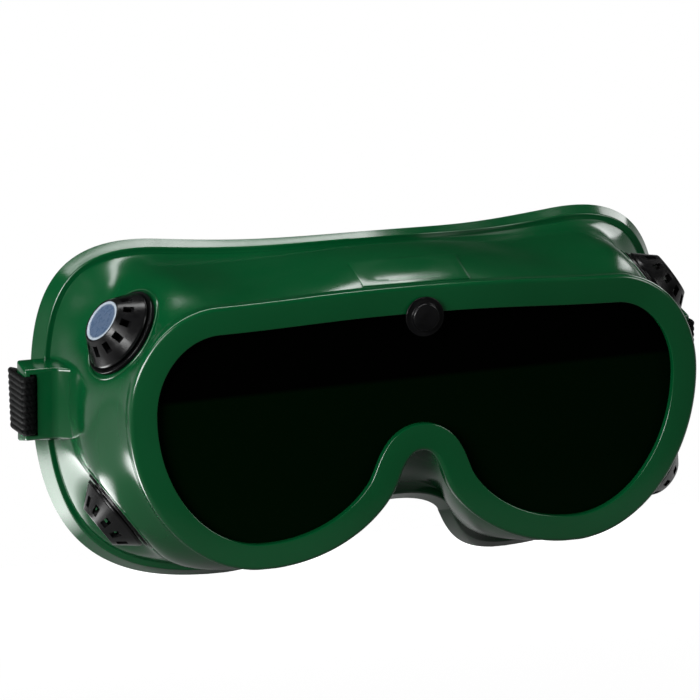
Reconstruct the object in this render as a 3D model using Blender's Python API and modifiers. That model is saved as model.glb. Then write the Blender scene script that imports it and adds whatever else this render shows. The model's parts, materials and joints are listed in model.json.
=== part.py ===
"""Welding goggles: a soft moulded body, one bowed lens, four round vents and an elastic strap.

The goggles are drawn in a face frame: X to the wearer's left, Y back towards the face, Z up,
with zero at the top centre of the rim's front. The face frame then leans forward until the
rim and the face flange both stand on the floor, which is how the goggles rest on a bench.
"""

import math

import bmesh
import bpy
import numpy as np
from mathutils import Matrix, Vector

# ---- Body: the rim, seen from the front (half sizes, from the top centre) ----
RIM_HALF_WIDTH = 0.0800
RIM_HEIGHT = 0.0731
RIM_WIDEST_DROP = 0.0300
RIM_SHOULDER_X = 0.0560
RIM_SHOULDER_DROP = 0.0020
RIM_LOBE_X = 0.0440
NOTCH_APEX_DROP = 0.0445
NOTCH_FLANK_X = 0.0080
NOTCH_FLANK_DROP = 0.0553
NOTCH_FLANK_LEAN = math.radians(30)
RIM_BAND = 0.0074
RIM_BAND_BOTTOM = 0.0070
RIM_CORNER_HANDLE = 0.55
RIM_DEPTH = 0.0040
RIM_EDGE_RADIUS = 0.0012
RIM_BOW = 0.0040

# ---- Body: the lens groove inside the rim ----
FRONT_LIP = 0.0020
LENS_THICKNESS = 0.0026
LENS_BITE = 0.0028
REAR_LIP = 0.0018

# ---- Body: the skirt and the face flange, as offsets from the rim's outline ----
WALL = 0.0022
WALL_STEP = 0.0010
WAIST_SHARE = 0.70
SWELL_OUT_SHARE = 0.90
SWELL_BACK_SHARE = 0.35
WAIST_CORNER_HANDLE_UPPER = 0.58
WAIST_CORNER_HANDLE_LOWER = 0.74
WAIST_TOP_RISE = 0.0060
WAIST_SHOULDER_RISE = 0.0020
WAIST_SIDE_IN = 0.0003
WAIST_BOTTOM_DROP = 0.0060
WAIST_NOTCH_DROP = 0.0095
FLANGE_CORNER_HANDLE_UPPER = 0.74
FLANGE_CORNER_HANDLE_LOWER = 0.71
FLANGE_TOP_RISE = 0.0074
FLANGE_SHOULDER_RISE = 0.0088
FLANGE_SHOULDER_CLIMB = math.radians(5)
FLANGE_SIDE_OUT = 0.0100
FLANGE_BOTTOM_DROP = 0.0127
FLANGE_NOTCH_DROP = 0.0175
FLANGE_FLANK_OUT = 0.0064
FLANGE_FLANK_DROP = 0.0127
FLANGE_BAND = 0.0032
FLANGE_BAND_DEPTH = 0.0052
FLANGE_DEPTH_TOP = 0.0380
FLANGE_DEPTH_SHOULDER = 0.0510
FLANGE_DEPTH_SIDE = 0.0565
FLANGE_DEPTH_BOTTOM = 0.0500
FLANGE_DEPTH_FLANK = 0.0270
FLANGE_DEPTH_NOTCH = 0.0210

# ---- Body: the bare pad on top, just behind the rim ----
PAD_WIDTH = 0.0300
PAD_LENGTH = 0.0120
PAD_PROUD = 0.0004

# ---- Vents ----
VENT_UPPER_DROP = 0.0117
VENT_UPPER_DEPTH = 0.0250
VENT_UPPER_ANGLE = math.radians(34.7)
VENT_UPPER_LEAN = math.radians(7.0)
VENT_UPPER_SUNK = 0.0014
VENT_LOWER_DROP = 0.0606
VENT_LOWER_DEPTH = 0.0280
VENT_LOWER_ANGLE = math.radians(37.5)
VENT_LOWER_LEAN = math.radians(-6.0)
VENT_LOWER_SUNK = 0.0014
BOSS_RADIUS = 0.0134
BOSS_LENGTH = 0.0060
POD_SPREAD = 0.0065
POD_DEPTH = 0.0085
SEAT_FLANGE_RADIUS = 0.0121
SEAT_FLANGE_THICKNESS = 0.0011
SLEEVE_RADIUS = 0.0082
SLEEVE_WALL = 0.0012
CLIP_RING_RADIUS = 0.0093
CLIP_RING_HEIGHT = 0.0010
CORE_RADIUS = 0.0034
SPOKE_WIDTH = 0.0012
CAP_FOOT_RADIUS = 0.0110
CAP_TOP_RADIUS = 0.0062
CAP_HEIGHT = 0.0062
CAP_WALL = 0.0012
WINDOW_COUNT = 12
WINDOW_WIDTH = 0.0019
WINDOW_HEIGHT = 0.0022
WINDOW_FROM_TOP = 0.0011
DISC_RADIUS = 0.0056
DISC_THICKNESS = 0.0008
RETAINER_RADIUS = 0.0108
RETAINER_THICKNESS = 0.0016

# ---- Lens stud ----
STUD_DROP = 0.0082
STUD_HEAD_RADIUS = 0.0037
STUD_HEAD_HEIGHT = 0.0014
STUD_FLANGE_RADIUS = 0.0053
STUD_FLANGE_THICKNESS = 0.0007
STUD_SHANK_RADIUS = 0.0018
SOCKET_RADIUS = 0.0044
SOCKET_THICKNESS = 0.0018
TAB_RADIUS = 0.0052

# ---- Strap lugs ----
LUG_DROP = 0.0342
LUG_HEIGHT = 0.0190
LUG_FLARE = 0.0015
LUG_DEPTH = 0.0070
LUG_SETBACK = 0.0050
LUG_RAMP = 0.0045
LUG_REACH = 0.0052
BAR_WIDTH = 0.0015
SLOT_WIDTH = 0.0020
LUG_EDGE_RADIUS = 0.0005

# ---- Strap and its sliders ----
STRAP_WIDTH = 0.0160
STRAP_THICKNESS = 0.0010
STRAP_LAYER_GAP = 0.0004
STRAP_TURN_IN = math.radians(48)
STRAP_BEND = 0.0160
STRAP_STRAIGHT = 0.0540
STRAP_TAIL = 0.0440
STRAP_SAG = 0.0140
SLIDER_LENGTH = 0.0120
SLIDER_PLACE = 0.0260
SLIDER_BAR = 0.0012
SLIDER_SIDE = 0.0020
SLIDER_RAIL = 0.0028
SLIDER_EDGE_RADIUS = 0.0004

# ---- Reach of the outlines' handles, as shares of the stretch they shape ----
TOP_HANDLE = 0.45
LOBE_HANDLE = 0.55
FLANK_HANDLE = 0.45
APEX_HANDLE = 0.60

# ---- Fits and mesh density ----
GAP = 0.0003
OUTLINE_STEPS = (5, 9, 11, 9, 6)
WALL_RINGS = 5
LENS_COLUMNS = 24
BEND_STEPS = 8
BACK_STEPS = 12
WRAP_STEPS = 2
CAP_STEPS = 24
TURN_STEPS = 20
ROUND_MIDDLE = 1 - math.sqrt(0.5)
CAVITY_STATIONS = (0.1, 0.2, 0.3, 0.5, 0.7, 0.85, 1.0)
EPSILON = 0.00001

GREEN_PVC = ("green_pvc", (0.010, 0.105, 0.040), 0.22)
DARK_LENS = ("dark_lens", (0.002, 0.004, 0.002), 0.06)
BLACK_PLASTIC = ("black_plastic", (0.012, 0.012, 0.012), 0.30)
PALE_DISC = ("pale_disc", (0.200, 0.240, 0.340), 0.25)
BLACK_ELASTIC = ("black_elastic", (0.010, 0.010, 0.011), 0.85)


# ---------------------------------------------------------------- scene helpers

def clear_scene():
    for obj in list(bpy.data.objects):
        bpy.data.objects.remove(obj, do_unlink=True)


def new_collection(name):
    collection = bpy.data.collections.new(name)
    bpy.context.scene.collection.children.link(collection)
    return collection


def new_empty(name, parent=None, matrix=None):
    """A frame that carries parts; it isn't a part itself."""
    empty = bpy.data.objects.new(name, None)
    empty.empty_display_size = 0.01
    parts.objects.link(empty)
    empty.parent = parent
    if matrix is not None:
        empty.matrix_local = matrix
    return empty


def material_of(finish):
    name, colour, roughness = finish
    material = bpy.data.materials.get(name)
    if material is None:
        material = bpy.data.materials.new(name)
        material.use_nodes = True
        shader = material.node_tree.nodes["Principled BSDF"]
        shader.inputs["Base Color"].default_value = (*colour, 1.0)
        shader.inputs["Roughness"].default_value = roughness
    return material


def add_object(name, mesh, collection, parent=None):
    obj = bpy.data.objects.new(name, mesh)
    collection.objects.link(obj)
    obj.parent = parent
    return obj


def add_part(name, mesh, finish, parent):
    """A visible part, shaded smooth up to a sharp edge."""
    obj = add_object(name, mesh, parts, parent)
    obj.data.materials.clear()
    obj.data.materials.append(material_of(finish))
    obj.data.shade_smooth()
    obj.data.set_sharp_from_angle(angle=math.radians(35))
    return obj


def add_cutter(name, mesh, parent, matrix=None):
    obj = add_object(name, mesh, cutters, parent)
    obj.hide_render = True
    obj.display_type = "WIRE"
    if matrix is not None:
        obj.matrix_local = matrix
    return obj


def mesh_from(name, build):
    """A new mesh that the function build fills through bmesh."""
    bm = bmesh.new()
    build(bm)
    bmesh.ops.recalc_face_normals(bm, faces=bm.faces)
    mesh = bpy.data.meshes.new(name)
    bm.to_mesh(mesh)
    bm.free()
    return mesh


def boolean(obj, operation, other):
    modifier = obj.modifiers.new(f"{operation.lower()} {other.name}", "BOOLEAN")
    modifier.operation = operation
    modifier.solver = "EXACT"
    modifier.object = other


def bevel(obj, width, segments=2):
    modifier = obj.modifiers.new("rounded edges", "BEVEL")
    modifier.width = width
    modifier.segments = segments
    modifier.limit_method = "ANGLE"
    modifier.angle_limit = math.radians(40)


def cylinder_mesh(name, radius, low, high, steps=TURN_STEPS):
    """A solid cylinder about local Z, from low to high."""
    def build(bm):
        place = Matrix.Translation((0, 0, (low + high) / 2))
        bmesh.ops.create_cone(bm, cap_ends=True, segments=steps, radius1=radius,
                              radius2=radius, depth=high - low, matrix=place)
    return mesh_from(name, build)


def box_mesh(name, low, high):
    """A solid box between two opposite corners."""
    low, high = Vector(low), Vector(high)

    def build(bm):
        size = Matrix.Diagonal((*(high - low), 1))
        bmesh.ops.create_cube(bm, size=1, matrix=Matrix.Translation((low + high) / 2) @ size)
    return mesh_from(name, build)


def prism_mesh(name, outline, low, high):
    """A flat outline in local XY, extruded along Z from low to high."""
    def build(bm):
        bottom = bm.faces.new([bm.verts.new((x, y, low)) for x, y in outline])
        lifted = bmesh.ops.extrude_face_region(bm, geom=[bottom])["geom"]
        raised = [item for item in lifted if isinstance(item, bmesh.types.BMVert)]
        bmesh.ops.translate(bm, verts=raised, vec=(0, 0, high - low))
    return mesh_from(name, build)


def turned_mesh(name, profile, steps=TURN_STEPS):
    """A profile of (radius, height) points turned about local Z with a Screw modifier.

    The profile runs down its outer side. One that starts off the axis is a closed ring.
    """
    on_axis = profile[0][0] == 0
    mesh = bpy.data.meshes.new(f"{name} profile")
    count = len(profile)
    edges = [(i, i + 1) for i in range(count - 1)]
    if not on_axis:
        edges.append((count - 1, 0))
    mesh.from_pydata([(radius, 0, height) for radius, height in profile], edges, [])
    obj = add_object(f"{name} profile", mesh, cutters)
    screw = obj.modifiers.new("turn", "SCREW")
    screw.steps = steps
    screw.render_steps = steps
    screw.use_merge_vertices = True
    screw.merge_threshold = EPSILON
    evaluated = obj.evaluated_get(bpy.context.evaluated_depsgraph_get())
    turned = bpy.data.meshes.new_from_object(evaluated)
    turned.name = name
    bpy.data.objects.remove(obj, do_unlink=True)
    return turned


# ---------------------------------------------------------------- outlines of the body

def outline_form(roundness, top, climb, shoulder, side, lobe, flank, apex):
    """The five stretches of one half outline, as cubic handles in (x, z).

    The roundness is that of the upper and lower outer corners: 0.55 makes them elliptical,
    and more makes them squarer. The outline climbs at the angle climb where it passes the
    shoulder.
    """
    upper, lower = roundness
    lean = NOTCH_FLANK_LEAN
    shoulder_slope = Vector((math.cos(climb), math.sin(climb)))
    top_run = shoulder[0] * TOP_HANDLE
    corner_run = upper * (side[0] - shoulder[0])
    lobe_run = lobe[0] - flank[0]
    up_flank = Vector((-math.sin(lean), math.cos(lean)))
    flank_run = (flank[1] - lobe[1]) * FLANK_HANDLE
    notch_run = (apex - flank[1]) * FLANK_HANDLE
    start, end = Vector((0, top)), Vector((0, apex))
    shoulder, side, lobe, flank = Vector(shoulder), Vector(side), Vector(lobe), Vector(flank)
    down = Vector((0, -1))
    left = Vector((-1, 0))
    return (
        (start, start - left * top_run, shoulder - shoulder_slope * top_run, shoulder),
        (shoulder, shoulder + shoulder_slope * corner_run,
         side - down * upper * (shoulder.y - side.y), side),
        (side, side + down * lower * (side.y - lobe.y),
         lobe - left * lower * (side.x - lobe.x), lobe),
        (lobe, lobe + left * lobe_run * LOBE_HANDLE, flank - up_flank * flank_run, flank),
        (flank, flank + up_flank * notch_run, end - left * flank.x * APEX_HANDLE, end),
    )


def bezier_point(handles, t):
    a, b, c, d = handles
    s = 1 - t
    return a * s ** 3 + b * (3 * s * s * t) + c * (3 * s * t * t) + d * t ** 3


def closed_outline(form):
    """The whole outline as an array of (x, z), clockwise from the top centre."""
    half = [bezier_point(handles, i / steps)
            for handles, steps in zip(form, OUTLINE_STEPS) for i in range(steps)]
    half.append(form[-1][-1])
    mirrored = [Vector((-p.x, p.y)) for p in reversed(half[1:-1])]
    return np.array([tuple(p) for p in half + mirrored])


def inward(outline):
    """Unit normals of a closed clockwise outline, pointing into it."""
    along = np.roll(outline, -1, axis=0) - np.roll(outline, 1, axis=0)
    along /= np.linalg.norm(along, axis=1, keepdims=True)
    return np.stack([along[:, 1], -along[:, 0]], axis=1)


def monotone_slopes(values):
    """Slopes that keep a curve through evenly numbered values from overshooting."""
    steps = np.diff(values)
    slopes = np.zeros(len(values))
    for i in range(1, len(values) - 1):
        before, after = steps[i - 1], steps[i]
        if before * after > 0:
            slopes[i] = 2 * before * after / (before + after)
    return slopes


def depths_along(values):
    """One depth for each point of a closed outline, smooth through the six anchor values."""
    slopes = monotone_slopes(np.array(values))
    half = []
    for i, steps in enumerate(OUTLINE_STEPS):
        for j in range(steps):
            t = j / steps
            half.append(values[i] * (1 + 2 * t) * (1 - t) ** 2 + values[i + 1] * t * t * (3 - 2 * t)
                        + slopes[i] * t * (1 - t) ** 2 + slopes[i + 1] * t * t * (t - 1))
    half.append(values[-1])
    return np.array(half + half[-2:0:-1])


def rim_form():
    return outline_form(
        roundness=(RIM_CORNER_HANDLE, RIM_CORNER_HANDLE),
        top=0.0,
        climb=-RIM_SHOULDER_DROP / RIM_SHOULDER_X,
        shoulder=(RIM_SHOULDER_X, -RIM_SHOULDER_DROP),
        side=(RIM_HALF_WIDTH, -RIM_WIDEST_DROP),
        lobe=(RIM_LOBE_X, -RIM_HEIGHT),
        flank=(NOTCH_FLANK_X, -NOTCH_FLANK_DROP),
        apex=-NOTCH_APEX_DROP,
    )


def waist_form():
    """The skirt's outline where it starts to flare."""
    return outline_form(
        roundness=(WAIST_CORNER_HANDLE_UPPER, WAIST_CORNER_HANDLE_LOWER),
        top=WAIST_TOP_RISE,
        climb=0.0,
        shoulder=(RIM_SHOULDER_X, -RIM_SHOULDER_DROP + WAIST_SHOULDER_RISE),
        side=(RIM_HALF_WIDTH - WAIST_SIDE_IN, -RIM_WIDEST_DROP),
        lobe=(RIM_LOBE_X, -RIM_HEIGHT - WAIST_BOTTOM_DROP),
        flank=(NOTCH_FLANK_X + FLANGE_FLANK_OUT / 2, -NOTCH_FLANK_DROP - FLANGE_FLANK_DROP / 2),
        apex=-NOTCH_APEX_DROP - WAIST_NOTCH_DROP,
    )


def flange_form():
    return outline_form(
        roundness=(FLANGE_CORNER_HANDLE_UPPER, FLANGE_CORNER_HANDLE_LOWER),
        top=FLANGE_TOP_RISE,
        climb=FLANGE_SHOULDER_CLIMB,
        shoulder=(RIM_SHOULDER_X, -RIM_SHOULDER_DROP + FLANGE_SHOULDER_RISE),
        side=(RIM_HALF_WIDTH + FLANGE_SIDE_OUT, -RIM_WIDEST_DROP),
        lobe=(RIM_LOBE_X, -RIM_HEIGHT - FLANGE_BOTTOM_DROP),
        flank=(NOTCH_FLANK_X + FLANGE_FLANK_OUT, -NOTCH_FLANK_DROP - FLANGE_FLANK_DROP),
        apex=-NOTCH_APEX_DROP - FLANGE_NOTCH_DROP,
    )


def bow_at(x):
    """How far back the face curves at a distance x from the middle."""
    return RIM_BOW * (x / RIM_HALF_WIDTH) ** 2


class Body:
    """The body's outlines and skirt, from which other pieces also take their places."""

    def __init__(self):
        self.rim = closed_outline(rim_form())
        self.rim_in = inward(self.rim)
        self.flange = closed_outline(flange_form())
        self.flange_in = inward(self.flange)
        self.flange_depth = depths_along([
            FLANGE_DEPTH_TOP, FLANGE_DEPTH_SHOULDER, FLANGE_DEPTH_SIDE,
            FLANGE_DEPTH_BOTTOM, FLANGE_DEPTH_FLANK, FLANGE_DEPTH_NOTCH])
        self.band = depths_along([RIM_BAND, RIM_BAND, RIM_BAND, RIM_BAND_BOTTOM,
                                  RIM_BAND, RIM_BAND])
        waist = closed_outline(waist_form())
        waist_depth = RIM_DEPTH + (self.flange_depth - RIM_DEPTH) * WAIST_SHARE
        self.start = self.rim_ring(WALL_STEP, RIM_DEPTH + GAP)
        self.waist = self.ring(waist, waist_depth)
        self.neck = self.flange_ring(FLANGE_BAND, FLANGE_BAND_DEPTH)

    @staticmethod
    def ring(outline, depth):
        return np.stack([outline[:, 0], depth, outline[:, 1]], axis=1)

    def rim_ring(self, inset, depth):
        """The rim's outline moved in by one distance, or by one for each point."""
        outline = self.rim + self.rim_in * np.reshape(inset, (-1, 1))
        return self.ring(outline, depth + bow_at(outline[:, 0]))

    def flange_ring(self, inset, forward):
        return self.ring(self.flange + self.flange_in * inset, self.flange_depth - forward)

    def skirt(self, t):
        """One ring of the skirt's outer surface, from the rim (0) to the flange's neck (1)."""
        swell = np.array([SWELL_OUT_SHARE, SWELL_BACK_SHARE, SWELL_OUT_SHARE])
        lead = self.start + (self.waist - self.start) * swell
        s = 1 - t
        return (self.start * s ** 3 + lead * (3 * s * s * t)
                + self.waist * (3 * s * t * t) + self.neck * t ** 3)

    def skirt_inside(self, t, inset=WALL):
        ring = self.skirt(t)
        shift = inward(ring[:, [0, 2]]) * inset
        return ring + np.stack([shift[:, 0], np.zeros(len(ring)), shift[:, 1]], axis=1)

    def wall_point(self, drop, depth):
        """The point of the right-hand skirt at this depth and this far below the rim's top."""
        low, high = 0.0, 1.0
        while high - low > EPSILON:
            t = (low + high) / 2
            half = self.skirt(t)[:len(self.rim) // 2]
            rising = half[half[:, 0] > RIM_LOBE_X][::-1]
            x, y = (float(np.interp(-drop, rising[:, 2], rising[:, i])) for i in (0, 1))
            low, high = (t, high) if y < depth else (low, t)
        return Vector((x, y, -drop))

    def top_point(self, depth):
        """The point on the skirt's top centre line at this depth."""
        low, high = 0.0, 1.0
        while high - low > EPSILON:
            t = (low + high) / 2
            point = self.skirt(t)[0]
            low, high = (t, high) if point[1] < depth else (low, t)
        return Vector(point)


def body_rings(body):
    """Closed cross-section of the moulding, ring by ring round the wall."""
    skirt_steps = [i / WALL_RINGS for i in range(1, WALL_RINGS)]
    band = body.band
    groove_floor = band - LENS_BITE
    lip_back = groove_back() + REAR_LIP
    edge = RIM_EDGE_RADIUS
    soft = edge / 4
    half_wall = WALL / 2
    return (
        [body.rim_ring(edge, 0), body.rim_ring(edge * ROUND_MIDDLE, edge * ROUND_MIDDLE),
         body.rim_ring(0, edge),
         body.rim_ring(0, RIM_DEPTH), body.rim_ring(WALL_STEP, RIM_DEPTH + GAP)]
        + [body.skirt(t) for t in skirt_steps]
        + [body.neck, body.flange_ring(0, half_wall), body.flange_ring(soft, soft),
           body.flange_ring(half_wall, 0), body.flange_ring(WALL - soft, soft),
           body.flange_ring(WALL, half_wall), body.skirt_inside(1.0)]
        + [body.skirt_inside(t) for t in reversed(skirt_steps)]
        + [body.rim_ring(WALL_STEP + WALL, lip_back), body.rim_ring(band - soft, lip_back),
           body.rim_ring(band - soft, groove_back()),
           body.rim_ring(groove_floor, groove_back()),
           body.rim_ring(groove_floor, FRONT_LIP), body.rim_ring(band, FRONT_LIP),
           body.rim_ring(band, soft), body.rim_ring(band - soft, 0)]
    )


def loft_mesh(name, rings):
    """A closed loft: rings round the wall, each joined to the next and the last to the first."""
    def build(bm):
        rows = [[bm.verts.new(point) for point in ring] for ring in rings]
        for row, following in zip(rows, rows[1:] + rows[:1]):
            for i in range(len(row)):
                j = (i + 1) % len(row)
                bm.faces.new((row[i], row[j], following[j], following[i]))
    return mesh_from(name, build)


# ---------------------------------------------------------------- frames for the fittings

def vent_frames(body):
    """Name, frame and side of each vent: local Z points out of the skirt from the boss's face."""
    frames = []
    for level, drop, depth, angle, lean, sunk in (
            ("upper", VENT_UPPER_DROP, VENT_UPPER_DEPTH, VENT_UPPER_ANGLE, VENT_UPPER_LEAN,
             VENT_UPPER_SUNK),
            ("lower", VENT_LOWER_DROP, VENT_LOWER_DEPTH, -VENT_LOWER_ANGLE, VENT_LOWER_LEAN,
             VENT_LOWER_SUNK)):
        wall = body.wall_point(drop, depth)
        flat = Vector((math.cos(angle), 0, math.sin(angle)))
        axis = (flat * math.cos(lean) - Vector((0, math.sin(lean), 0))).normalized()
        seat = wall - axis * sunk
        for side, mirror in (("right", 1), ("left", -1)):
            place = Vector((mirror * seat.x, seat.y, seat.z))
            out = Vector((mirror * axis.x, axis.y, axis.z))
            turn = out.to_track_quat("Z", "Y").to_matrix().to_4x4()
            frames.append((f"{level}_{side}", Matrix.Translation(place) @ turn))
    return frames


def lug_back():
    """Depth of the lugs' back face, a little in front of the flange's edge."""
    return FLANGE_DEPTH_SIDE - LUG_SETBACK


def lug_front():
    return lug_back() - LUG_DEPTH


def lug_outline():
    """The right-hand lug in plan, (x, y), from inside the skirt's wall out to its bar."""
    flange_x = RIM_HALF_WIDTH + FLANGE_SIDE_OUT
    band_x = flange_x - FLANGE_BAND
    bar_x = flange_x + LUG_REACH
    root = lug_front() - LUG_RAMP
    return [(RIM_HALF_WIDTH - LUG_DEPTH, root), (RIM_HALF_WIDTH, root),
            (band_x, lug_front()), (bar_x, lug_front()), (bar_x, lug_back()),
            (band_x, lug_back())]


def slot_edges():
    """Inner and outer x of the right-hand slot."""
    bar_inner = RIM_HALF_WIDTH + FLANGE_SIDE_OUT + LUG_REACH - BAR_WIDTH
    return bar_inner - SLOT_WIDTH, bar_inner


# ---------------------------------------------------------------- body, lens and stud

def half_cavity(body):
    """A closed filler that ends halfway through the skirt's wall, to trim what roots in it."""
    rings = [body.rim_ring(WALL_STEP + WALL / 2, -WALL)]
    rings += [body.skirt_inside(t, WALL / 2) for t in CAVITY_STATIONS]
    rings.append(body.flange_ring(WALL / 2, -WALL))

    def build(bm):
        rows = [[bm.verts.new(point) for point in ring] for ring in rings]
        for row, following in zip(rows, rows[1:]):
            for i in range(len(row)):
                j = (i + 1) % len(row)
                bm.faces.new((row[i], row[j], following[j], following[i]))
        bm.faces.new(rows[0])
        bm.faces.new(rows[-1])
    return mesh_from("half cavity", build)


def add_lugs(moulding, cavity, face):
    """Moulded lugs at both sides, each with a slot and a bar for the strap."""
    slot_in, slot_out = slot_edges()
    slot_half = STRAP_WIDTH / 2 + GAP
    for side, mirror in (("right", 1), ("left", -1)):
        outline = [(mirror * x, y) for x, y in lug_outline()]
        low = -LUG_DROP - LUG_HEIGHT / 2
        mesh = prism_mesh("lug", outline, low, low + LUG_HEIGHT)
        for vertex in mesh.vertices:
            share = min(max((vertex.co.y - lug_front()) / LUG_DEPTH, 0), 1)
            vertex.co.z += math.copysign(LUG_FLARE * share, vertex.co.z + LUG_DROP)
        lug = add_cutter(f"lug {side}", mesh, face)
        bevel(lug, LUG_EDGE_RADIUS)
        boolean(lug, "DIFFERENCE", cavity)
        boolean(moulding, "UNION", lug)
        corners = sorted((mirror * slot_in, mirror * slot_out))
        slot = add_cutter(f"slot {side}", box_mesh(
            "slot", (corners[0], lug_front() - LUG_DEPTH, -LUG_DROP - slot_half),
            (corners[1], lug_back() + LUG_DEPTH, -LUG_DROP + slot_half)), face)
        boolean(moulding, "DIFFERENCE", slot)


def pod_mesh():
    """A flat-topped cone that spreads out under the vent, into the skirt."""
    def build(bm):
        low, high = -POD_DEPTH, SEAT_FLANGE_THICKNESS / 2
        bmesh.ops.create_cone(bm, cap_ends=True, segments=CAP_STEPS,
                              radius1=BOSS_RADIUS + POD_SPREAD, radius2=BOSS_RADIUS,
                              depth=high - low,
                              matrix=Matrix.Translation((0, 0, (low + high) / 2)))
    return mesh_from("pod", build)


def add_vent_bosses(moulding, cavity, frames):
    """Pods on the skirt with a lipped seat, and under each a boss inside it with a bore."""
    pod = pod_mesh()
    boss = cylinder_mesh("boss", BOSS_RADIUS, -BOSS_LENGTH, BOSS_RADIUS)
    pocket = cylinder_mesh("pocket", SEAT_FLANGE_RADIUS + 2 * GAP, 0, BOSS_RADIUS, CAP_STEPS)
    bore = cylinder_mesh("bore", SLEEVE_RADIUS + GAP, -2 * BOSS_LENGTH, BOSS_LENGTH)
    for name, frame in frames:
        rooted = add_cutter(f"pod {name}", pod.copy(), frame)
        boolean(rooted, "DIFFERENCE", cavity)
        boolean(moulding, "UNION", rooted)
        inside = add_cutter(f"boss {name}", boss.copy(), frame)
        boolean(inside, "INTERSECT", cavity)
        boolean(moulding, "UNION", inside)
        boolean(moulding, "DIFFERENCE", add_cutter(f"pocket {name}", pocket, frame))
        boolean(moulding, "DIFFERENCE", add_cutter(f"bore {name}", bore, frame))


def add_pad(moulding, body, face):
    """A shallow bare pad on top of the skirt, just behind the rim."""
    near = body.top_point(RIM_DEPTH + RIM_EDGE_RADIUS)
    far = body.top_point(RIM_DEPTH + RIM_EDGE_RADIUS + PAD_LENGTH)
    slope = math.atan2(far.z - near.z, far.y - near.y)
    pad = add_cutter("pad", box_mesh(
        "pad", (-PAD_WIDTH / 2, 0, -WALL / 2), (PAD_WIDTH / 2, PAD_LENGTH, PAD_PROUD)), face,
        Matrix.Translation(near) @ Matrix.Rotation(slope, 4, "X"))
    boolean(moulding, "UNION", pad)


def groove_back():
    return FRONT_LIP + LENS_THICKNESS + 2 * GAP


def tab_back():
    """Depth of the back of the tab that carries the stud's socket."""
    return groove_back() + REAR_LIP + GAP


def add_stud_tab(moulding, stud_frame):
    """A round tab behind the lens and a bore for the stud's shank."""
    tab = cylinder_mesh("tab", TAB_RADIUS, -tab_back(), -groove_back() - GAP / 2)
    bore = cylinder_mesh("stud bore", STUD_SHANK_RADIUS + GAP, -2 * tab_back(), tab_back())
    boolean(moulding, "UNION", add_cutter("stud tab", tab, stud_frame))
    boolean(moulding, "DIFFERENCE", add_cutter("stud bore", bore, stud_frame))


def add_body(body, face, frames, stud_frame):
    mesh = loft_mesh("body_moulding", body_rings(body))
    moulding = add_part("body_moulding", mesh, GREEN_PVC, face)
    cavity = add_cutter("half cavity", half_cavity(body), face)
    add_vent_bosses(moulding, cavity, frames)
    add_lugs(moulding, cavity, face)
    add_pad(moulding, body, face)
    add_stud_tab(moulding, stud_frame)


def add_lens(body, face, stud_frame):
    """A bowed plate cut to the groove's outline, with a hole for the stud."""
    reach = RIM_HALF_WIDTH
    front = FRONT_LIP + GAP
    across = [reach * (i / LENS_COLUMNS * 2 - 1) for i in range(LENS_COLUMNS + 1)]
    plan = [(x, front + bow_at(x)) for x in across]
    plan += [(x, front + LENS_THICKNESS + bow_at(x)) for x in reversed(across)]
    mesh = prism_mesh("lens", plan, -RIM_HEIGHT, 0)
    lens = add_part("lens", mesh, DARK_LENS, face)
    outline = body.rim_ring(body.band - LENS_BITE + GAP, 0)[:, [0, 2]]
    blank = add_cutter("lens outline", prism_mesh(
        "lens outline", [tuple(p) for p in outline], -RIM_HALF_WIDTH, RIM_HALF_WIDTH), face,
        Matrix.Rotation(math.pi / 2, 4, "X"))
    boolean(lens, "INTERSECT", blank)
    hole = cylinder_mesh("lens hole", STUD_SHANK_RADIUS + GAP, -2 * tab_back(), tab_back())
    boolean(lens, "DIFFERENCE", add_cutter("lens hole", hole, stud_frame))


def add_stud(stud_frame):
    """The push-in button and, behind the lens, the ring that its shank snaps into."""
    radius = STUD_HEAD_RADIUS
    seat = GAP + STUD_FLANGE_THICKNESS
    top = seat + STUD_HEAD_HEIGHT
    ring_front = -tab_back() - GAP
    ring_back = ring_front - SOCKET_THICKNESS
    tip = ring_back - GAP
    nose = STUD_SHANK_RADIUS / 3
    profile = [
        (0, top), (radius * 0.5, top - STUD_HEAD_HEIGHT * 0.10),
        (radius * 0.85, top - STUD_HEAD_HEIGHT * 0.40), (radius, seat + GAP), (radius, seat),
        (STUD_FLANGE_RADIUS, seat - GAP), (STUD_FLANGE_RADIUS, GAP), (STUD_SHANK_RADIUS, GAP),
        (STUD_SHANK_RADIUS, tip + nose), (STUD_SHANK_RADIUS - nose, tip), (0, tip)]
    add_part("lens_stud", turned_mesh("lens_stud", profile), BLACK_PLASTIC, stud_frame)
    bore = STUD_SHANK_RADIUS + GAP
    ring = [(SOCKET_RADIUS, ring_front), (SOCKET_RADIUS, ring_back), (bore, ring_back),
            (bore, ring_front)]
    add_part("stud_socket", turned_mesh("stud_socket", ring), BLACK_PLASTIC, stud_frame)


# ---------------------------------------------------------------- vents

def window_mesh(top):
    """Radial boxes that cut the windows of one cap."""
    middle = top - WINDOW_FROM_TOP - WINDOW_HEIGHT / 2
    reach = CAP_FOOT_RADIUS + CAP_WALL

    def build(bm):
        for i in range(WINDOW_COUNT):
            turn = Matrix.Rotation(math.tau * (i + 0.5) / WINDOW_COUNT, 4, "Z")
            place = Matrix.Translation((DISC_RADIUS + 2 * GAP + reach / 2, 0, middle))
            size = Matrix.Diagonal((reach, WINDOW_WIDTH, WINDOW_HEIGHT, 1))
            bmesh.ops.create_cube(bm, size=1, matrix=turn @ place @ size)
    return mesh_from("windows", build)


def cap_foot():
    """Height of the cap's foot over the boss's face."""
    return 2 * GAP + SEAT_FLANGE_THICKNESS


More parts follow.
